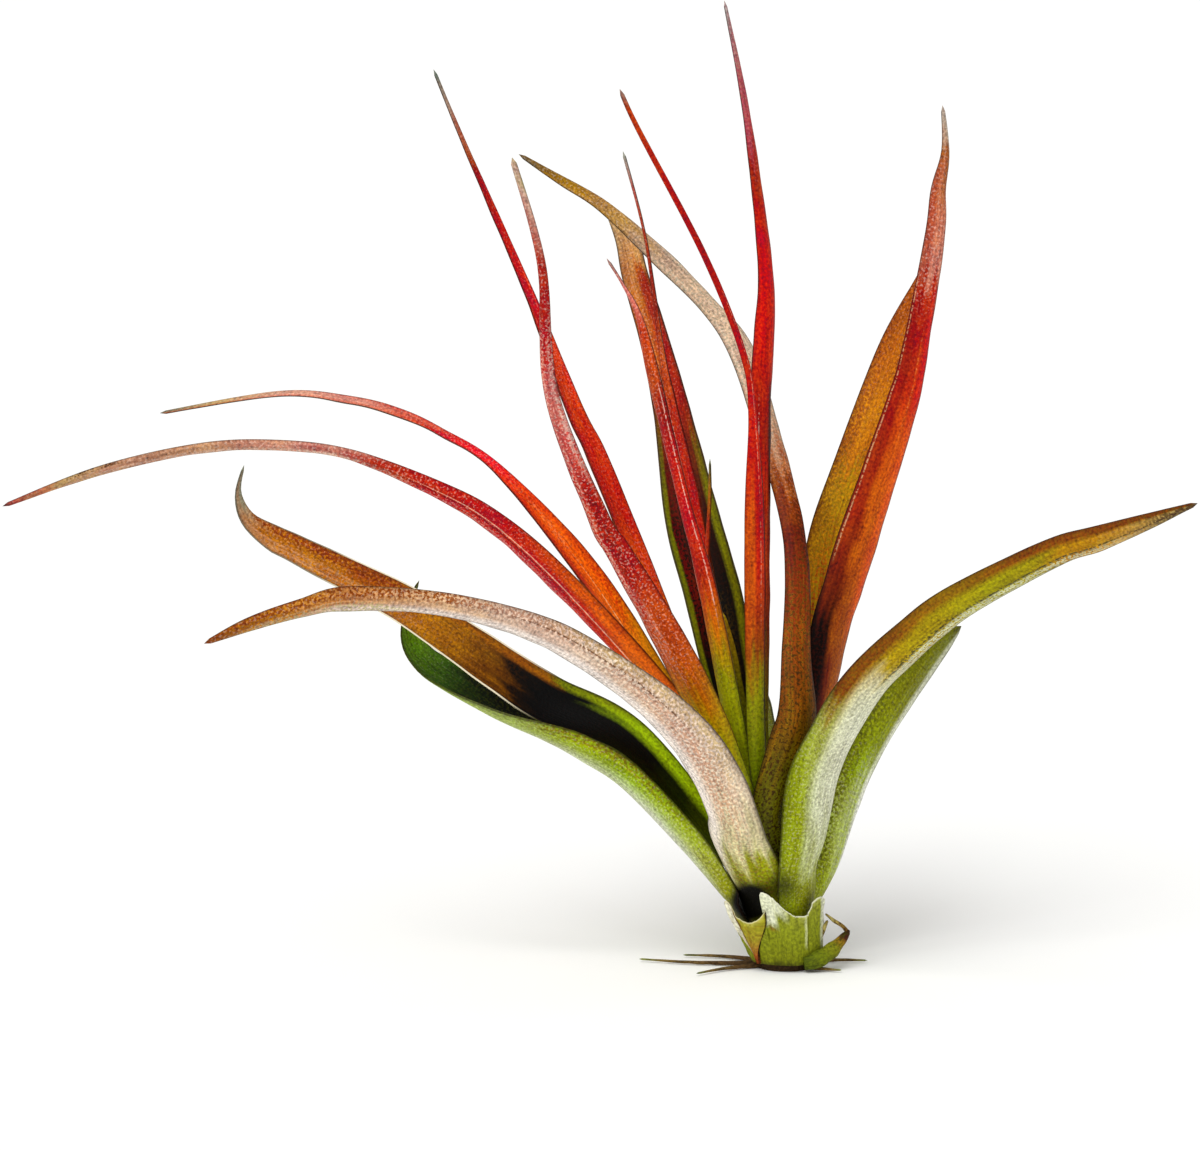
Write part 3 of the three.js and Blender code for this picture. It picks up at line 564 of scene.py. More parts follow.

# Nested in the lower left leaf: its golden brown upper face shows, painted near-black in the channel as
# shadow.
growLeaf({
    "node": "leaf_06_left_nested", "azimuth": 147.5, "flare": 0.25, "sheath": 8,
    "rows": "-10.3 19.3 3 8.4 56 0, -24.2 35.4 5 9.3 54 10, -37.7 42.4 6 8.7 42 35, "
    "-50.5 51.2 5 7.2 35 45, -60 57.5 5 6.3 32 45, -75.5 65.5 4 4.6 28 45, -79.5 67.5 4 4.2 25 42, "
    "-83.5 70.5 4 2.7 20 30, -85 74.5 3 1.6 12 10, -84 79 3 0.6 6 0",
    "outer": "0:7f9a2c 40:8a9a3a 60:9a8a50 80:a08a6a 100:8f9a88",
    # the near-black stops are painted shadow, as cast into the channel by the leaves in front
    "inner": "0:6a7a0c 20:1a2404 28:040402 45:020202 48:140a04 52:6a3c08 60:a06410 68:a66414 "
    "74:a05018 80:b87840 87:b0703c 93:b49070 97:8f8a72 100:6f7466",
    "innerBands": [
        ("c89068", "50:0 65:100", "62:0 68:80 90:80 96:0", 0.2),
        ("943803", "30:100 45:0", "64:0 70:100 88:90 92:0", 0.2),
        ("a8c818", "14:100 30:0", "30:100 34:80 40:0", 0),
        ("94a010", "8:100 18:0", "32:0 36:100 43:80 47:0", 0),
        ("a8601a", "12:100 22:0", "42:0 47:100 60:60 66:0", 0),
    ],
    "bloom": "48:0 55:10 70:20", "flecks": "47:0 54:60 70:60 100:30",
    "rims": "44:0 50:100 76:100 80:30 100:0", "fleckColour": "4a2804",
})

# Rises in front and arches up left: olive and rust below, pale and speckled above.
growLeaf({
    "node": "leaf_07_front_arch", "azimuth": 285, "flare": 0.16, "sheath": 10,
    "rows": "-3 24 -8 5.6 38 0, 0.5 35 -8 7.2 38 0, 1.8 40 -8 6.8 38 0, 1.6 49 -6 5.2 36 0, "
    "1.2 67.5 1 4.1 35 0, -4 87.5 15 4.6 35 0, -7.5 97.5 22 4.9 34 0, -12.5 104 26 3.7 30 0, "
    "-20 111.5 29 4 28 0, -28.5 119 31 2.6 22 0, -35 123 33 1.9 16 0, -41.5 127 34 0.6 6 0",
    "outer": "0:5e6208 10:5e5e0a 16:605a0c 20:685410 24:744810 28:84440e 33:88380e 38:842c0c "
    "43:6e2008 47:8c3c1a 52:bc7854 58:cca488 66:d4b8a0 72:d0b498 80:c2a48c 86:b28c60 93:a0742c "
    "100:5a4a34",
    "inner": "0:5a6a18 30:7a3c18 60:b08a6a 85:a08a48 100:5a4a34",
    "outerBands": [
        ("a87c18", "0:30 20:100 45:30 75:90 100:40", "14:0 20:80 32:70 38:40 42:0", 0.7),
        ("d8d8bc", "0:60 40:20 100:80", "50:0 60:90 78:80 86:0", 0.8),
        ("3c1404", "50:0 80:90 100:100", "36:0 40:70 48:60 52:0", 0.4),
    ],
    "bloom": "0:0 45:10 55:40 100:30", "flecks": "0:95 30:85 40:60 50:30 60:50 80:50 100:30",
    # a painted smudge of shadow at the foot
    "fleckColour": "301a08", "paintedShadows": [(-0.5, 13, 0.2, 3.4, 0.7)],
})

# Upright at the right, seen into: gold, painted dark towards its foot as shade.
growLeaf({
    "node": "leaf_08_right_gold", "azimuth": 62.5, "flare": 0.2, "sheath": 9,
    "rows": "0 21.5 6 7.6 45 0, 3.5 42 9 8.7 42 0, 5 53 11 8.6 38 0, 7 67.5 13 8.9 34 0, "
    "11.5 81.5 15 8.2 32 0, 16.5 97 18 6.2 30 0, 21.5 109 18 2.9 20 0, 22.5 115 18 0.6 6 0",
    "outer": "0:7a8a2a 30:a05a1c 60:b05a24 100:9a6a50",
    # the dark stop near the foot is painted shade
    "inner": "0:6a7a10 20:3a1a04 30:6a3408 40:8a4008 48:b05c08 55:b47c08 60:b88410 66:bc6c10 "
    "72:c47c20 80:b8640c 88:a45210 95:a85c3c 100:8a7a70",
    "innerBands": [
        ("8a3a08", "62:0 80:80 100:100", "30:0 40:80 90:60", 0.5),
        ("7a2c08", "10:0 30:80 50:0", "40:0 50:70 70:30 80:80 90:0", 0.7),
        ("a88a0a", "10:0 30:90 80:90 100:0", "34:0 42:90 62:80 68:0", 0.5),
        ("d8a060", "0:100 10:80 16:0", "40:0 50:60 90:80 100:50", 0.2),
    ],
    "bloom": "0:0 60:15 100:30", "flecks": "0:40 100:30", "fleckColour": "5a2404",
})

# The longest, far to the left: crimson below a white keel, salmon and cream outwards.
growLeaf({
    "node": "leaf_09_left_long", "azimuth": 200, "flare": 0.2, "sheath": 8,
    "rows": "-9 26.5 -2 6 34 0, -14 37 -3 7 35 -5, -21 45.5 -4 7.2 35 -15, -36 61.5 -8 5.6 35 -35, "
    "-45.5 70 -9 4.4 34 -42, -54 75 -10 3.3 33 -48, -67.5 80.5 -12 2 30 -50, -79 82 -13 2 30 -50, "
    "-91 81.5 -14 1.9 28 -50, -106.5 78 -16 1.7 22 -50, -121.5 72.5 -17 0.6 6 -50",
    "outer": "0:8a9a2a 14:c8a020 22:e8a818 27:e47c18 32:c82a10 38:be1410 44:be0e12 50:b8080e "
    "56:be1c14 61:b43c30 66:b46058 71:c48a7c 75:c48e78 80:ba8e70 87:b48670 94:b4966a 98:b05a50 "
    "100:4a3030",
    "inner": "0:8a9a2a 20:c8701c 40:c03024 60:b04a44 90:b08a6a 100:4a3030",
    "outerBands": [
        ("c8404a", "30:100 42:0", "28:0 34:100 52:100 58:60 62:20", 0.15),
        ("e09088", "25:100 40:0", "30:0 36:60 52:80 58:50 62:20", 0.7),
        ("ec640a", "60:0 75:100", "15:0 22:80 38:90 44:30 48:0", 0),
        ("d8c0ac", "30:100 48:0", "58:0 68:80 90:60 96:0", 0.2),
        ("5a0408", "40:0 44:90 48:0", "30:0 38:90 60:90 68:0", 0),
        ("fcc4ac", "50:0 53:100 56:0", "22:0 28:100 54:100 62:0", 0),
        ("5a3a20", "70:0 80:100", "87:0 89:100 92:100 94:0", 0.7),
    ],
    "bloom": "0:0 25:10 35:30 60:60 70:50 100:20", "flecks": "0:10 50:30", "fleckColour": "5a1c14",
})

# Upright at the right, keel forward: dark red to its left, bright red to its right.
growLeaf({
    "node": "leaf_10_right_upright", "azimuth": 337.5, "flare": 0.2, "sheath": 9,
    "rows": "2.5 28 -1 8.4 42 8, 4 36 -1 8.4 38 18, 6.8 52.5 0 7.8 35 34, 9 60 0 7.9 35 37, "
    "11.2 67.5 1 7.8 34 39, 17.5 87.5 4 6.1 32 42, 19.5 96 5 4.9 30 42, 22.5 114 7 3.8 26 40, "
    "23 121.5 8 2.8 22 38, 24 127.5 9 1.5 18 36, 23.5 134.5 9 0.6 6 36",
    "outer": "0:788014 12:6a3a0c 20:7a2a08 27:6a1604 34:a04808 42:be5406 50:cc5a06 58:c84c10 "
    "65:cc3a18 71:a80c08 76:b83c2c 80:d08a78 87:cc8068 93:a0603c 97:b0a090 100:9a8a84",
    "inner": "0:6a7a20 30:a8480f 60:b83214 80:b8605c 100:9a8a84",
    "outerBands": [
        ("8c0a06", "30:100 46:0", "30:0 36:70 50:80 74:90 78:60 88:50 92:0", 0),
        ("a85008", "50:0 62:100", "16:0 22:100 34:100 42:0", 0),
        ("ea5608", "62:0 80:100", "32:0 40:90 58:90 64:0", 0),
        ("d41009", "62:0 80:100", "58:0 64:100 74:100 77:0", 0),
        # painted shadow: near-black low on its left side
        ("100302", "34:100 48:0", "3:0 10:100 34:100 40:50 50:0", 0),
        ("f4c49c", "4:0 6:100 9:0", "42:0 46:90 76:90 84:0", 0.1),
        # painted highlight along the keel
        ("ee8a68", "55:0 58:100 62:0", "50:0 56:80 68:90 72:0", 0.3),
    ],
    "bloom": "0:0 50:5 74:20 78:50 100:30", "flecks": "0:40 50:20", "fleckColour": "5a1404",
})

# At the back, seen only from behind and the sides.
growLeaf({
    "node": "leaf_11_back_left", "azimuth": 115, "flare": 0.2, "sheath": 8,
    "rows": "-4.5 28 9 5.7 38 0, -8.5 42 19 7.2 38 0, -12.5 56.5 28 7.9 38 0, "
    "-14.5 69 42 6.5 35 0, -15.5 78 56 4.2 30 0, -16 85 70 0.6 8 0",
    "outer": "0:8a9a3a 40:a08434 70:b0502c 100:8a6a5a",
    "inner": "0:7a8a24 40:9a6a24 70:a8482c 100:8a6a5a",
    "bloom": "100:40", "flecks": "0:30",
})

# Upper left, in front: mauve above, dark crimson with white scales, yellow green below.
growLeaf({
    "node": "leaf_12_front_left", "azimuth": 252.5, "flare": 0.16, "sheath": 8,
    "rows": "-8 29.5 -8 5 38 0, -12.5 40 -10 6 38 0, -17.5 50 -14 5.8 38 0, "
    "-22.2 58.5 -17 5.1 38 0, -26.6 66 -19 4.4 38 0, -29.2 70.5 -20 3.7 38 0, "
    "-36.5 90 -25 2.4 34 0, -38 110 -29 1.4 28 0, -42.5 126.5 -31 0.9 12 0",
    "outer": "0:7f9414 14:8c9c08 20:a09c0a 25:c09614 29:c8781c 34:c8541c 39:c44c20 44:b83428 "
    "50:ac1c20 57:b03430 64:c05c58 70:bc6a64 76:a83c40 82:a03030 88:a0443c 93:b47c70 97:b89888 "
    "100:7c7c4c",
    "inner": "0:7f9414 30:b85a24 60:a81c28 100:9a8468",
    "outerBands": [
        ("e4a090", "24:100 42:0", "30:0 36:80 43:90 66:90 80:50 88:0", 0.6),
        ("dcb4a8", "55:0 75:100", "58:0 64:80 74:80 80:40 84:0", 0.4),
        ("7a0810", "35:0 50:100 75:80 90:0", "42:0 47:80 55:90 60:0", 0.3),
        ("e0a898", "30:0 42:90 52:0", "28:0 32:80 40:70 46:0", 0.5),
    ],
    "bloom": "0:0 28:10 34:50 60:70 80:50 100:30", "flecks": "0:10 30:40 60:40 100:10",
    "fleckColour": "6a1408",
})

# Second of the long left leaves, seen into: yellow orange, red, then khaki.
growLeaf({
    "node": "leaf_13_left_upper", "azimuth": 167.5, "flare": 0.16, "sheath": 8,
    "rows": "-11 30.5 6 7.4 38 0, -15.5 38 9 7.4 38 8, -30.5 61.5 15 5.9 32 32, "
    "-44.5 78 20 2.1 26 45, -53.5 84 23 1.6 24 50, -60 87 25 1.9 25 50, -67.5 89 27 1.7 24 50, "
    "-78.5 90 29 1.2 20 50, -97 87 30 0.6 6 50",
    "outer": "0:8a9a24 25:c86a1c 50:b83034 75:b08a70 100:5a5a4a",
    "inner": "0:8a9a24 14:c8a41c 24:e4a814 31:e8981a 36:ea7430 43:ea6430 50:e05c38 55:e05048 "
    "59:dc4450 64:b83840 70:c86c5c 78:c6887a 86:c89c86 93:ac9068 100:5a5a4a",
    "innerBands": [
        # painted highlight along the middle
        ("fcd0a0", "47:0 50:100 53:0", "18:0 22:100 40:90 48:0", 0.1),
        ("d84008", "25:100 42:0", "32:0 37:90 46:80 52:0", 0.2),
        ("c42c10", "70:0 82:100", "36:0 41:90 54:60 62:30", 0),
        ("f09470", "20:0 35:80 60:80 70:0", "40:0 46:80 56:60 62:0", 0.4),
        ("ee5a5c", "10:0 30:90 70:90 90:0", "53:0 57:80 62:60 66:0", 0.2),
    ],
    "bloom": "0:0 50:10 60:30 100:20", "flecks": "0:10 100:20", "fleckColour": "8a2410",
})

# Slim, in front of the middle: orange and red halves above a green foot.
growLeaf({
    "node": "leaf_14_centre_front", "azimuth": 290, "flare": 0.12, "sheath": 9,
    "rows": "-4.5 34.5 -6 3.1 35 0, -5 68.5 -9 3.5 35 0, -5.5 87 -11 1.3 30 0, "
    "-7 96.5 -13 1.1 28 0, -13 111.5 -18 1 22 0, -23 130.5 -24 0.8 13 0, -26 137 -25 0.6 6 0",
    "outer": "0:6a8010 15:7c8c08 24:8c8c0a 27.5:984c08 33:a83208 40:b83008 47:b81c0a 55:c01612 "
    "62:b80c0a 75:a80e10 88:a80c0e 94:ae380e 100:7a6a60",
    "inner": "0:6a8010 27:9aa80e 30:b8481a 60:c01418 100:7a7a70",
    "outerBands": [
        ("c01414", "48:0 54:100", "34:0 40:60 55:70 60:0", 0),
        ("cc5a10", "40:100 48:0", "28:0 33:50 44:60 50:0", 0),
        ("f2b8a0", "66:0 70:100 74:0", "28:0 34:60 50:60 60:100 72:90 76:0", 0.2),
        ("4a0408", "86:0 93:100", "10:0 20:80 50:90 56:0", 0),
    ],
    "bloom": "0:0 30:10 60:20 70:5 100:0", "flecks": "0:10 30:30 50:20 100:0",
    "fleckColour": "5a1008",
})

# Broad, behind the middle, seen into: olive rims round a channel painted near-black as shade.
growLeaf({
    "node": "leaf_15_centre_broad", "azimuth": 82.5, "flare": 0.14, "sheath": 8,
    "rows": "-5.5 32.5 6 6.8 40 0, -8.8 46 10 8.6 43 0, -11.2 58 14 9.9 44 0, "
    "-14.6 70.5 19 9.4 42 0, -17.7 86.5 27 6.4 37 0, -20.5 98 32 4.9 33 0, -23.5 108 38 4.4 30 0, "
    "-25 114 42 3.6 24 0, -28.3 119.2 45 0.6 6 0",
    "outer": "0:7a8a1c 40:8a8a24 70:a0481c 100:a08a6a",
    # the near-black stops are painted shade in the channel
    "inner": "0:2a3008 15:0a0802 40:0c0804 50:2a1206 58:5a200a 66:8a2410 74:b04018 82:bc6436 "
    "90:c08a5c 100:a8946e",
    "innerBands": [
        ("84880a", "12:100 20:0", "50:100 62:40 68:0", 0),
        ("6a0a06", "70:0 76:100 88:100 92:0", "30:0 40:90 60:90 66:0", 0.2),
        ("84880a", "88:0 92:100", "50:100 62:50 70:0", 0),
        ("5a4a10", "20:0 35:80 60:60 70:0", "10:0 20:80 34:60 42:0", 0.9),
        ("a01408", "35:100 50:0", "60:0 68:90 85:80 90:0", 0),
        ("e0a070", "48:0 60:80 75:0", "66:0 74:80 86:80 92:0", 0.6),
    ],
    "bloom": "0:0 60:10 70:30", "flecks": "0:0 60:30 100:20", "fleckColour": "3a1004",
})

# Slim, left of the middle: red between two white lines.
growLeaf({
    "node": "leaf_16_centre_edge", "azimuth": 220, "flare": 0.1, "sheath": 8,
    "rows": "-7 32 -2 4.5 36 0, -8.5 39.5 -3 5.1 36 0, -12.5 59.5 -2 4.5 36 0, -16 73 1 3 34 0, "
    "-21 93.5 5 3.1 28 0, -23 102 7 1.5 24 0, -25.5 107 9 0.6 14 0, -28 111 9 0.6 6 0",
    "outer": "0:6a7a10 20:8a9808 30:9ca006 35:b48c08 40:c86c0a 45:c4440c 50:b8200e 57:be0c08 "
    "66:bc0806 72:962020 80:b04018 86:c05038 93:c87a72 100:7a6a64",
    "inner": "0:6a7a10 30:a0a80e 42:c8601c 60:cc1c1c 100:7a6a64",
    "outerBands": [
        ("fae0d0", "12:0 16:80 20:0", "38:0 44:100 75:100 80:0", 0.05),
        ("fae0d0", "78:0 82:70 86:0", "38:0 44:100 75:100 80:0", 0.05),
        ("2a0806", "20:0 24:90 28:0", "40:0 46:80 72:80 78:0", 0),
    ],
    "bloom": "0:0 40:20 80:40 100:30", "flecks": "0:10 50:30 100:20", "fleckColour": "5a1008",
})

# The tallest: red with a dark right edge, magenta and pale pink at the tip.
growLeaf({
    "node": "leaf_17_tallest", "azimuth": 357.5, "flare": 0.1, "sheath": 8,
    "rows": "-3.5 35 1 4.7 38 20, -4 52 2 4.6 37 42, -4 88 5 4.8 36 42, -3.5 99 8 4.8 34 42, "
    "-3.5 110 11 3.4 28 42, -6.5 133 17 1.7 18 42, -10 150.5 19 0.6 6 42",
    "outer": "0:6a8010 16:8c9408 22:90780a 27:a03c10 36:b82810 44:c03020 50:a01008 56:b81c08 "
    "62:cc1808 70:c40c10 75:b42018 79:a84030 85:a64c54 92:a4645e 100:9a8a88",
    "inner": "0:6a8010 16:8c9408 22:90780a 27:a03c10 44:c03020 56:b81c08 70:c40c10 79:a84030 "
    "92:a4645e 100:9a8a88",
    "outerBands": [
        ("3c0204", "60:0 74:100", "36:0 43:100 53:100 58:0", 0),
        ("8a080c", "70:0 85:90", "56:0 60:70 76:80 80:0", 0),
        ("d86048", "50:0 60:100 75:0", "28:0 34:80 42:80 46:0", 0.4),
        ("b04464", "0:100 50:60 100:100", "84:0 88:50 95:50 100:20", 0.4),
        ("fad8c8", "24:0 27:100 30:0", "30:0 36:70 50:70 56:0", 0.3),
    ],
    "bloom": "0:0 30:10 80:10 100:20", "flecks": "0:20 30:40 60:20 100:10", "fleckColour": "5a0c04",
})

# Upper left, behind: crimson with a grey green tip.
growLeaf({
    "node": "leaf_18_left_upright", "azimuth": 135, "flare": 0.1, "sheath": 8,
    "rows": "-9.5 34.5 4 5.5 35 0, -13 42 6 5.5 35 0, -17.5 50 9 5.1 35 0, -24 66.5 16 4.7 33 0, "
    "-29.7 80.5 22 4.5 30 0, -33 87.5 25 3.9 28 0, -39.5 104.5 31 2.2 22 0, -50 129 35 1 13 0, "
    "-54.5 140 35 0.6 6 0",
    "outer": "0:8a9a14 20:c0601c 50:c03424 85:a82c28 100:5f6a60",
    "inner": "0:8a9a14 18:c09414 23:cc8420 27:dc7c38 31:da6e3c 36:d25c44 43:c63422 50:c41c0c "
    "57:d2482c 63:c44a3c 70:c42634 78:c02024 86:981410 91:a05a44 95:a08070 100:5f6a60",
    "innerBands": [
        ("e06058", "25:100 40:0", "26:0 34:60 44:40 55:20 60:80 80:80 86:0", 0.3),
        ("b01018", "70:0 85:100", "30:0 38:80 80:70 86:0", 0.1),
        ("e88c3c", "30:0 50:80 70:0", "20:0 26:80 34:60 40:0", 0.4),
    ],
    "bloom": "0:0 30:20 60:30 100:20", "flecks": "0:10 40:30 100:10", "fleckColour": "7a140c",
})

# A short green leaf in the heart.
growLeaf({
    "node": "leaf_19_small_green", "azimuth": 272.5, "flare": 0.08, "sheath": 8,
    "rows": "-6 34 -1 1.9 30 0, -6.5 38.5 0 1.8 30 0, -7.5 44.5 0 1.5 28 0, -8.5 50.5 0 1 22 0, "
    "-10 56 1 0.6 6 0",
    "outer": "0:7a8a10 50:6a6a08 70:7c7408 90:94740c 100:a08a3a",
    "inner": "0:6a8010 100:a8b41c",
    "bloom": "0:0", "flecks": "0:10", "fleckColour": "4a5a08",
})

# Slim, behind the middle: red with a grey tip.
growLeaf({
    "node": "leaf_20_centre_slim", "azimuth": 50, "flare": 0.08, "sheath": 7,
    "rows": "-7 34.5 3 4 35 0, -10 48.5 6 3.7 35 0, -14.5 73.5 9 3 32 0, -18 89 11 2.1 28 0, "
    "-19.5 97 12 1.2 25 0, -22 114 14 0.6 15 0, -25.5 127.5 15 0.6 6 0",
    "outer": "0:7a9010 30:b8641c 55:c82020 100:8a8a80",
    "inner": "0:7a9010 22:8c9808 30:c08c08 36:c85810 43:c8300c 50:c4140c 57:c03430 64:c03018 "
    "71:d27050 77:8a2018 86:8e3420 93:a65850 100:8a8a80",
    "innerBands": [
        ("f2b8a8", "78:0 84:100 90:0", "35:0 42:70 62:70 68:0", 0.2),
    ],
    "bloom": "0:0 40:30 70:30 100:20", "flecks": "0:10 50:30 100:10", "fleckColour": "5a0c0c",
})

# The youngest, in the heart.
growLeaf({
    "node": "leaf_21_innermost", "azimuth": 187.5, "flare": 0.06, "sheath": 6,
    "rows": "-9.5 44 3 2.3 30 0, -11.5 51.5 4 2.3 30 0, -12.5 59.5 5 2.1 28 0, "
    "-12 73.5 6 1.9 20 0, -12 80 6 0.6 6 0",
    "outer": "0:7a9010 36:8c9204 43:a8aa04 50:c09a08 57:be5a06 64:c24008 72:cc4a0c 79:bc280e "
    "86:b45228 93:a87438 100:4a5a2c",
    "inner": "0:7a9010 40:b8601c 85:a85a24 100:4a5a2c",
    "bloom": "0:0 50:10", "flecks": "0:10",
})

# Dead tissue: a colour run from its foot to its tip, fibres along it and torn, stained patches.
deadSkin = {
    "fibre": (3, 0.3, 0, 3), "stain": (0.5, 0.4, 5, 3), "grit": (2.2, 1.9, 9, 3),
    "fleck": (2.2, 2, 13, 2),
    "wander": (0.3, 0.1), "sway": (0.02, 0.08), "stainFrom": (0.5, 0.6), "contrast": (0.8, 1.6),
    "rimFrom": (0.965, 0.995),
    "roughness": (0.6, 0.2), "raised": 0.6, "relief": (0.7, 0.0003),  # what grit adds to both
}


def huskSkin(name, look, seed):
    paint = Paint(name)
    u, v, x, y = paint.spread()
    kinds = ("fibre", "stain", "grit", "fleck")
    fibres, stains, grit, flecks = [paint.grain(deadSkin[kind], x, y, seed) for kind in kinds]
    byStains, byFibres = deadSkin["wander"]
    colour = paint.ramp(v + (stains - 0.5) * byStains + (fibres - 0.5) * byFibres, look["run"])
    swayAcross, swayAlong = deadSkin["sway"]
    across, along = u + (stains - 0.5) * swayAcross, v + (grit - 0.5) * swayAlong
    for code, acrossStops, alongStops in look.get("bands", []):
        reach = paint.ramp(across, acrossStops) * paint.ramp(along, alongStops)
        colour = paint.mix(reach, colour, tint(code))
    dark = paint.smooth(stains * 0.5 + flecks * 0.5, *deadSkin["stainFrom"]) * look["stained"]
    colour = paint.mix(dark, colour, tint(look["stain"]))
    byFibres, byGrit = deadSkin["contrast"]
    colour = paint.brighten(colour, 1 + (fibres - 0.5) * byFibres + (grit - 0.5) * byGrit)
    rim = paint.smooth(v, *deadSkin["rimFrom"]) * look["rimShare"]
    colour = paint.mix(rim, colour, tint(look["rimColour"]))
    least, byGrit = deadSkin["roughness"]
    height = fibres + grit * deadSkin["raised"]
    return paint.finish(colour, least + grit * byGrit, height, *deadSkin["relief"])


# A shell round the foot from columns (azimuth, top, radius at the bottom, flare). It is torn along its
# top and can be gathered towards one azimuth at its bottom.
husk = {
    "tear": (0.9, 2.3), "fineTear": 0.6,  # how fast wide and fine tears change from column to column
    "wave": (0.35, 0.4), "waveAtFoot": 0.3,
    "thinning": 0.75, "curlFrom": 0.6, "gatherTo": 0.9,
}


def huskMesh(look, seed):
    columns, between, rises = numbers(look["columns"]), look["between"], look["rises"]
    count, bottom = (len(columns) - 1) * between, look["foot"]
    middle, spread = look.get("gather", (0, 1))
    places, marks = [], []
    for outward in (1, -1):
        for c in range(count + 1):
            azimuth, top, radius, flare = rowAt(columns, c / between)
            wide, fine = [noise.noise(Vector((c * husk["tear"][i], seed, 5 * i))) for i in (0, 1)]
            top += look["tear"] * (wide + husk["fineTear"] * fine)
            for k in range(rises + 1):
                share = k / rises
                height = bottom + (top - bottom) * share
                thick = look["thickness"] * (1 - husk["thinning"] * share ** 3)
                wave = look["wave"] * (husk["waveAtFoot"] + (1 - husk["waveAtFoot"]) * share)
                wave *= noise.noise(Vector((c * husk["wave"][0], k * husk["wave"][1], seed + 2)))
                curl = look["curl"] * smoothStep(share, husk["curlFrom"], 1)
                reach = radius + flare * (height - bottom) + outward * thick / 2 + wave + curl
                opened = spread + (1 - spread) * smoothStep(share, 0, husk["gatherTo"])
                places.append(aroundAxis(height, middle + (azimuth - middle) * opened, reach))
                marks.append((c / count, share, math.radians(azimuth) * radius, height))
    sheet, faces = (count + 1) * (rises + 1), []
    for c in range(count):
        for k in range(rises):
            a, b = c * (rises + 1) + k, (c + 1) * (rises + 1) + k
            faces += [[a, b, b + 1, a + 1], [sheet + a, sheet + a + 1, sheet + b + 1, sheet + b]]
    rim = [c * (rises + 1) for c in range(count)]
    rim += [count * (rises + 1) + k for k in range(rises)]
    rim += [c * (rises + 1) + rises for c in range(count, 0, -1)]
    rim += list(range(rises, 0, -1))
    for i, a in enumerate(rim):
        b = rim[(i + 1) % len(rim)]
        faces.append([b, a, sheet + a, sheet + b])
    corners = [marks[i] for face in faces for i in face]
    shares, sizes = [mark[:2] for mark in corners], [mark[2:] for mark in corners]
    return places, faces, {"share": shares, "size": sizes}


# A round strand along rows (x, y, z, thickness), slightly lumpy, its tip a share of its start.
strand = {"spacing": 0.5, "lumps": 0.16, "lumpLength": 1.5, "towards": Vector((0.13, 0.21, 1))}


def strandMesh(rows, thickness, sides, seed, tip=1):
    stations, total = evenStations(rows, strand["spacing"])
    rings = len(stations) - 1
    frames = framesAlong([Vector(s[:3]) for s in stations], strand["towards"])
    places = []
    for i, (point, tangent, face) in enumerate(frames[:-1]):
        side = face.cross(tangent)
        run = i / rings
        radius = stations[i][3] / 2 * (1 - (1 - tip) * run)
        for j in range(sides):
            turn = 2 * math.pi * j / sides
            lump = noise.noise(Vector((math.cos(turn), run * total / strand["lumpLength"], seed)))
            outward = (face * math.cos(turn) + side * math.sin(turn)) * radius
            place = point + outward * (1 + strand["lumps"] * lump)
            place.z = max(place.z, 0)
            places.append(place)
    places.append(frames[-1][0])

    def corner(i, j, first):
        return (j / sides, i / rings), (j / sides * math.pi * thickness, total * i / rings)

    return places, *closeRings(rings, sides, corner, [range(sides)], flip=True)


# several closed meshes as one
def together(parts):
    places, faces, maps = [], [], {"share": [], "size": []}
    for partPlaces, partFaces, partMaps in parts:
        start = len(places)
        places += partPlaces
        faces += [[start + i for i in face] for face in partFaces]
        for key in maps:
            maps[key] += partMaps[key]
    return places, faces, maps


# Torn sheath in front of the foot: olive, with a pale flap at its left and a crease near its right.
frontSheath = {
    "node": "old_sheath_front",
    "columns": "200 6.2 5.2 0.36, 214 7.2 5.2 0.34, 228 7.6 5.2 0.3, 243 8.2 5.2 0.28, "
    "252 9.2 5.2 0.27, 253 12.8 5.2 0.24, 259 13.2 5.2 0.25, 267 12.4 5.3 0.26, 276 10.9 5.5 0.26, "
    "287 9.6 5.6 0.25, 294 9.3 5.6 0.24, 306 9.3 5.7 0.22, 309 9.7 5.8 0.2, 314 10.9 5.8 0.2, "
    "322 11.6 5.9 0.19, 332 11.8 6 0.18, 342 11.2 6 0.18",
    "between": 5, "rises": 14, "foot": 1.2, "thickness": 0.5, "tear": 0.12, "wave": 0.35, "curl": 0.15,
    "run": "0:54560c 12:7c8210 60:8c941c 90:929828 100:a8ac50",
    "bands": [
        ("dfe2c4", "29:0 31:100 42:100 46:0", "52:0 62:100"),
        ("dfe2c4", "42:0 45:100 50:60 54:0", "74:0 85:100"),
        ("7a4a1c", "34:0 38:80 46:0", "46:0 52:100 58:0"),
        ("d0d498", "66:0 67.5:100 69:100 70:0", "30:0 45:80 100:100"),
        ("2c2c08", "70:0 71.5:100 73:100 75:0", "0:80 30:40 60:70 100:50"),
        ("e0e2c8", "92:0 96:90 100:100", "20:0 40:100"),
    ],
    "stain": "4c4c0c", "stained": 0.35, "rimColour": "ecebd2", "rimShare": 0.8,
}

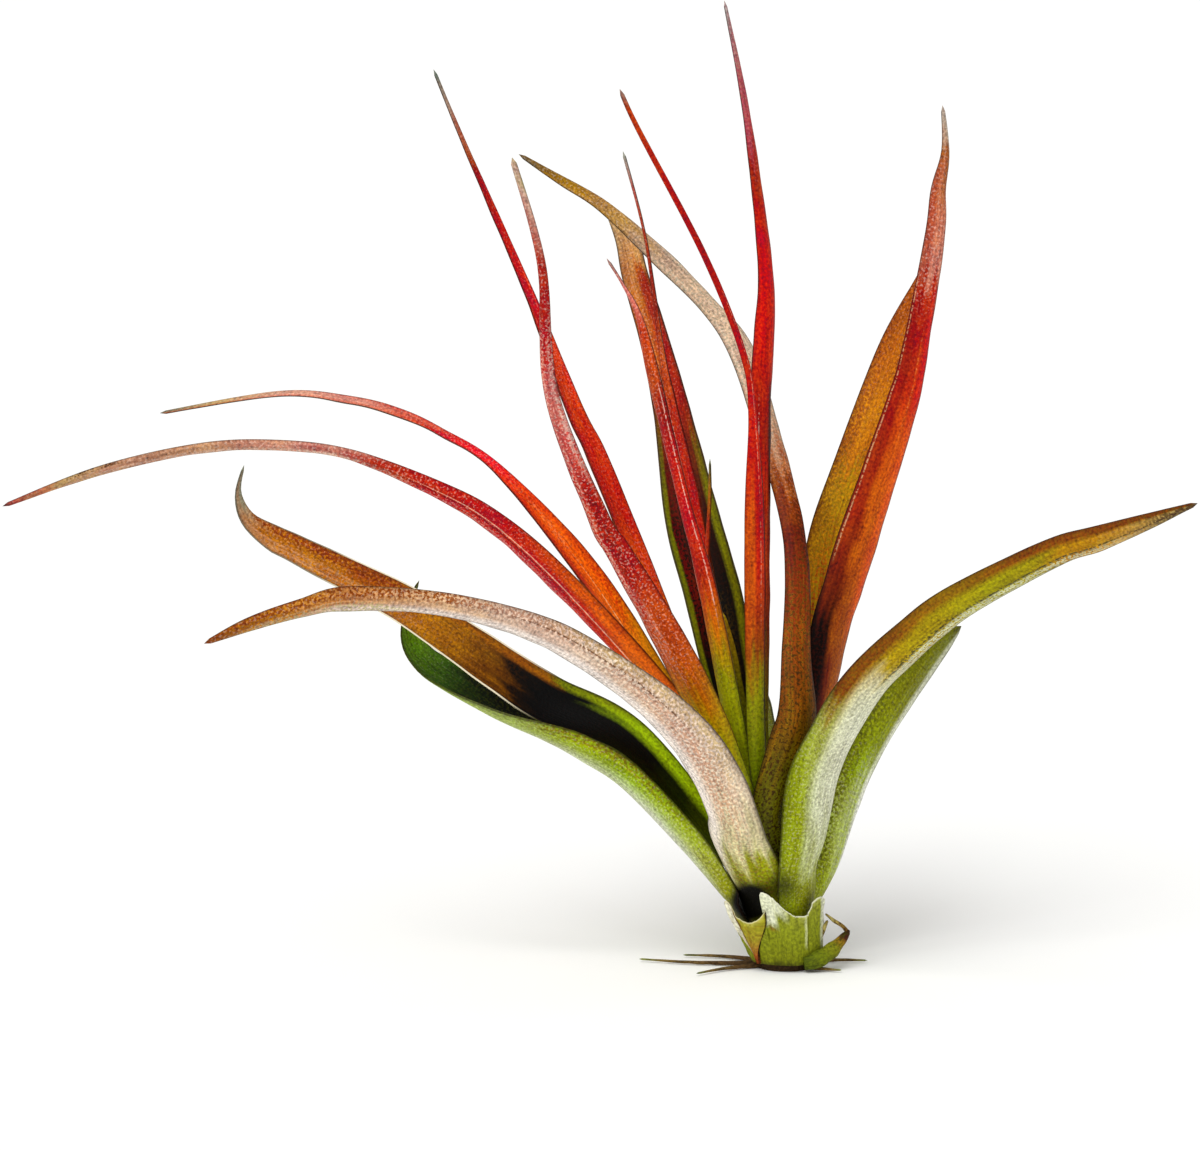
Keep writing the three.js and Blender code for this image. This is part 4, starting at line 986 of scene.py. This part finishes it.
# Dry sheath behind the foot.
backSheath = {
    "node": "old_sheath_back",
    "columns": "24 5.8 5.3 0.3, 38 8.4 5.3 0.3, 50 7.2 5.3 0.3, 66 9.4 5.3 0.31, 80 7.8 5.3 0.32, "
    "96 9.8 5.3 0.33, 112 7.2 5.3 0.33, 126 8.8 5.3 0.34, 140 6.2 5.3 0.34",
    "between": 6, "rises": 12, "foot": 1.2, "thickness": 0.5, "tear": 0.5, "wave": 0.25, "curl": 0.35,
    "run": "0:4a3218 40:7a5a30 80:a58a56 100:c4b080",
    "stain": "3a2412", "stained": 0.6, "rimColour": "cbb98c", "rimShare": 0.5,
}


def tearHusk(look, seed):
    node = look["node"]
    material = huskSkin(node + "_skin", look, seed)
    dress(meshPiece(node + "_husk", *huskMesh(look, seed), material), node)


tearHusk(frontSheath, 0)
tearHusk(backSheath, 1)
print("sheaths torn")

# Dry scale in front, hollow behind its rim and drawn to a point below: a pale fold at its left.
dryLeaf = {
    "node": "dry_leaf_front",
    "columns": "202 9.3 5.5 0.36, 205 10.8 5.5 0.34, 209 11.2 5.5 0.32, 213 10.4 5.6 0.3, "
    "216 9.3 5.8 0.3, 223 8.6 6 0.29, 232 8.2 6.1 0.28, 242 8.5 6.1 0.25, 250 9.3 5.9 0.23, "
    "256 10.3 5.8 0.2",
    "gather": (226, 0.08), "between": 5, "rises": 14, "foot": 1.3,
    "thickness": 0.5, "tear": 0.1, "wave": 0.3, "curl": 0.1,
    "run": "0:6a2c10 15:9a4c1c 35:a8802c 60:a09424 90:a09a24 100:b0aa50",
    "bands": [
        ("e2dfc4", "30:100 36:0", "0:0 30:50 50:100"),
        ("5c1a08", "30:0 34:100 46:100 53:0", "0:80 40:100 85:100 100:30"),
        ("7a4a14", "60:0 64:70 68:0", "80:60 95:0"),
        ("241404", "93:0 98:100", "0:50 20:100"),
    ],
    "stain": "7a4416", "stained": 0.3, "rimColour": "d8d2a4", "rimShare": 0.8,
}
tearHusk(dryLeaf, 31)

# Thick olive stub at the right, pinched and brown at its tip, and the dried strands beside it.
greenStub = {
    "node": "green_stub_right", "thickness": 2.6, "sides": 20,
    "body": "2.7 -5 1.5 2.2, 4.6 -4.7 1.9 2.7, 6.4 -3.7 2.7 2.6, 8 -2.8 4 2, 9 -2.3 5 1.4, "
    "9.6 -2 5.8 0.9, 9.5 -2 6.4 0.6",
    "run": "0:4c5808 30:68720c 60:7c7c12 74:8a6a14 82:4a1c0a 100:2c0e06",
    "bands": [
        ("b0b468", "10:0 20:50 35:0", "0:0 20:100 70:100 80:0"),
    ],
    "stain": "3c4408", "stained": 0.6, "rimColour": "3a1c0c", "rimShare": 0.4,
}
driedStrands = {
    "rows": [
        "9.6 -2 5.8 0.7, 9.1 -2 6.5 0.6, 8.5 -2 7 0.6, 7.4 -2.1 7.7 0.6, 6.1 -2.2 8.8 0.3",
        "4.9 -2.2 3.6 0.8, 5.2 -2.4 5 0.9, 5.8 -2.5 6.3 0.8, 6.5 -2.4 7.8 0.4",
    ],
    "thickness": 0.6, "sides": 10,
    "run": "0:4a2a0c 30:8a6c2c 70:a89a58 100:6a5a24",
    "stain": "3a200c", "stained": 0.8, "rimColour": "3a1c0c", "rimShare": 0.4,
}
body = strandMesh(numbers(greenStub["body"]), greenStub["thickness"], greenStub["sides"], 37)
piece = meshPiece("green_stub_right_husk", *body, huskSkin("green_stub_right_skin", greenStub, 37))
dress(piece, greenStub["node"])
thickness, sides = driedStrands["thickness"], driedStrands["sides"]
parts = together([strandMesh(numbers(rows), thickness, sides, 41) for rows in driedStrands["rows"]])
piece = meshPiece("green_stub_right_strands", *parts, huskSkin("dried_strand_skin", driedStrands, 41))
dress(piece, greenStub["node"])
print("remnants placed")

# The stem with the scars of fallen leaves round it, and the wiry roots that leave from its foot.
stem = {
    "node": "stem", "sides": 48, "levels": 60, "crowding": 1.3,  # of the levels towards the foot
    "collarRadius": 4.4, "collarFrom": 1, "collarTo": 1.9, "girth": 25, "tipRise": 0.6,
    "scarDepth": 0.18, "scarSpacing": 1.3, "roughness": 0.12, "roughFrom": 0.3, "grain": 3,
    "roots": "178 23 2.5, 202 16 -2, 150 17 -2.5, 112 14 2, 64 13 -1.5, 18 13 2, 322 10 -1.2",
    "rootThickness": 0.9, "rootSides": 12, "rootTip": 0.3, "rootSteps": 6, "rootSway": 3,
    "run": "0:3c2a18 40:5c4426 80:7a6436 100:86904a",
    "stain": "2a1a0e", "stained": 0.7, "rimColour": "86904a", "rimShare": 0.3,
}


def stemMesh():
    sides, levels, top = stem["sides"], stem["levels"], plant["stemHeight"]
    places = []
    for i in range(levels + 1):
        height = top * (i / levels) ** stem["crowding"]
        radius = stemRadiusAt(max(height, stem["collarTo"]))
        widening = 1 - smoothStep(height, stem["collarFrom"], stem["collarTo"])
        radius += (stem["collarRadius"] - radius) * widening
        for j in range(sides):
            azimuth = 360 * j / sides
            turn = math.radians(azimuth)
            phase = (height / stem["scarSpacing"] + azimuth / 360) % 1
            across, back = math.cos(turn) * stem["grain"], math.sin(turn) * stem["grain"]
            rough = noise.noise(Vector((across, back, height)))
            relief = stem["scarDepth"] * (phase - 0.5) + stem["roughness"] * rough
            if height <= stem["roughFrom"]:
                relief = 0
            places.append(aroundAxis(height, azimuth, radius + relief))
    places.append(aroundAxis(top + stem["tipRise"], 0, 0))

    def corner(i, j, first):
        share = min(i / levels, 1)
        return (j / sides, share), (j / sides * stem["girth"], top * share)

    return places, *closeRings(levels + 1, sides, corner, [range(sides - 1, -1, -1)])


# a root that lies on the ground
def rootMesh(azimuth, length, bend, seed):
    turn = math.radians(azimuth)
    along = Vector((math.cos(turn), math.sin(turn), 0))
    aside = Vector((-along.y, along.x, 0))
    start, thickness, rows = stem["collarRadius"] / 2, stem["rootThickness"], []
    for i in range(stem["rootSteps"] + 1):
        share = i / stem["rootSteps"]
        sway = bend * share * share * math.cos(stem["rootSway"] * share)
        place = along * (start + (length - start) * share) + aside * sway
        rows.append([place.x, place.y, thickness / 2, thickness])
    return strandMesh(rows, thickness, stem["rootSides"], seed, stem["rootTip"])


roots = [rootMesh(*root, 50 + i) for i, root in enumerate(numbers(stem["roots"]))]
parts = together([stemMesh(), *roots])
piece = meshPiece("stem_rooted", *parts, huskSkin("stem_skin", stem, 43))
dress(piece, stem["node"])
print("stem rooted")

# A plain pale floor under soft, even light.
stage = {
    "size": 12, "floor": "f4f4f2", "grain": 3, "unevenness": 0.02,
    "roughness": (0.9, 0.05), "relief": (0.05, 0.001), "sky": 0.62,
    "sun": 2.2, "sunAngle": 50, "sunAim": (-0.35, -0.55, 0.9),
}


def setStage():
    scene, half = bpy.context.scene, stage["size"] / 2
    paint = Paint("floor_pale")
    place = paint.add("TexCoord", None, None, output="Object")
    shade = paint.add("TexNoise", None, {"Vector": place, "Scale": stage["grain"], "Detail": 2})
    colour = paint.brighten(tint(stage["floor"]), 1 + (shade - 0.5) * stage["unevenness"])
    least, more = stage["roughness"]
    mesh = bpy.data.meshes.new("floor")
    corners = [(-half, -half, 0), (half, -half, 0), (half, half, 0), (-half, half, 0)]
    mesh.from_pydata(corners, [], [(0, 1, 2, 3)])
    mesh.materials.append(paint.finish(colour, least + shade * more, shade, *stage["relief"]))
    floor = bpy.data.objects.new("floor", mesh)
    scene.collection.objects.link(floor)
    scene.world = bpy.data.worlds.new("studio")
    scene.world.use_nodes = True
    sky = scene.world.node_tree.nodes["Background"]
    sky.inputs["Color"].default_value = (1, 1, 1, 1)
    sky.inputs["Strength"].default_value = stage["sky"]
    sun = bpy.data.objects.new("sun", bpy.data.lights.new("sun", "SUN"))
    sun.data.energy = stage["sun"]
    sun.data.angle = math.radians(stage["sunAngle"])
    sun.rotation_euler = Vector(stage["sunAim"]).to_track_quat("Z", "Y").to_euler()
    scene.collection.objects.link(sun)
    scene.view_settings.view_transform = "Standard"


# The camera stands in front, 8 degrees above level.
view = {"target": (-29, 0, 61.7), "distance": 900, "elevation": 8, "lens": 174.2, "sensor": 36}


def setCamera():
    camera = bpy.data.objects.new("camera", bpy.data.cameras.new("camera"))
    rise = math.radians(view["elevation"])
    offset = Vector((0, -math.cos(rise), math.sin(rise))) * view["distance"]
    camera.location = (Vector(view["target"]) + offset) * mm
    camera.rotation_euler = offset.to_track_quat("Z", "Y").to_euler()
    camera.data.lens, camera.data.sensor_width = view["lens"], view["sensor"]
    camera.data.clip_start, camera.data.clip_end = 0.01, 50
    bpy.context.scene.collection.objects.link(camera)
    bpy.context.scene.camera = camera


setStage()
setCamera()
print("stage and camera set")
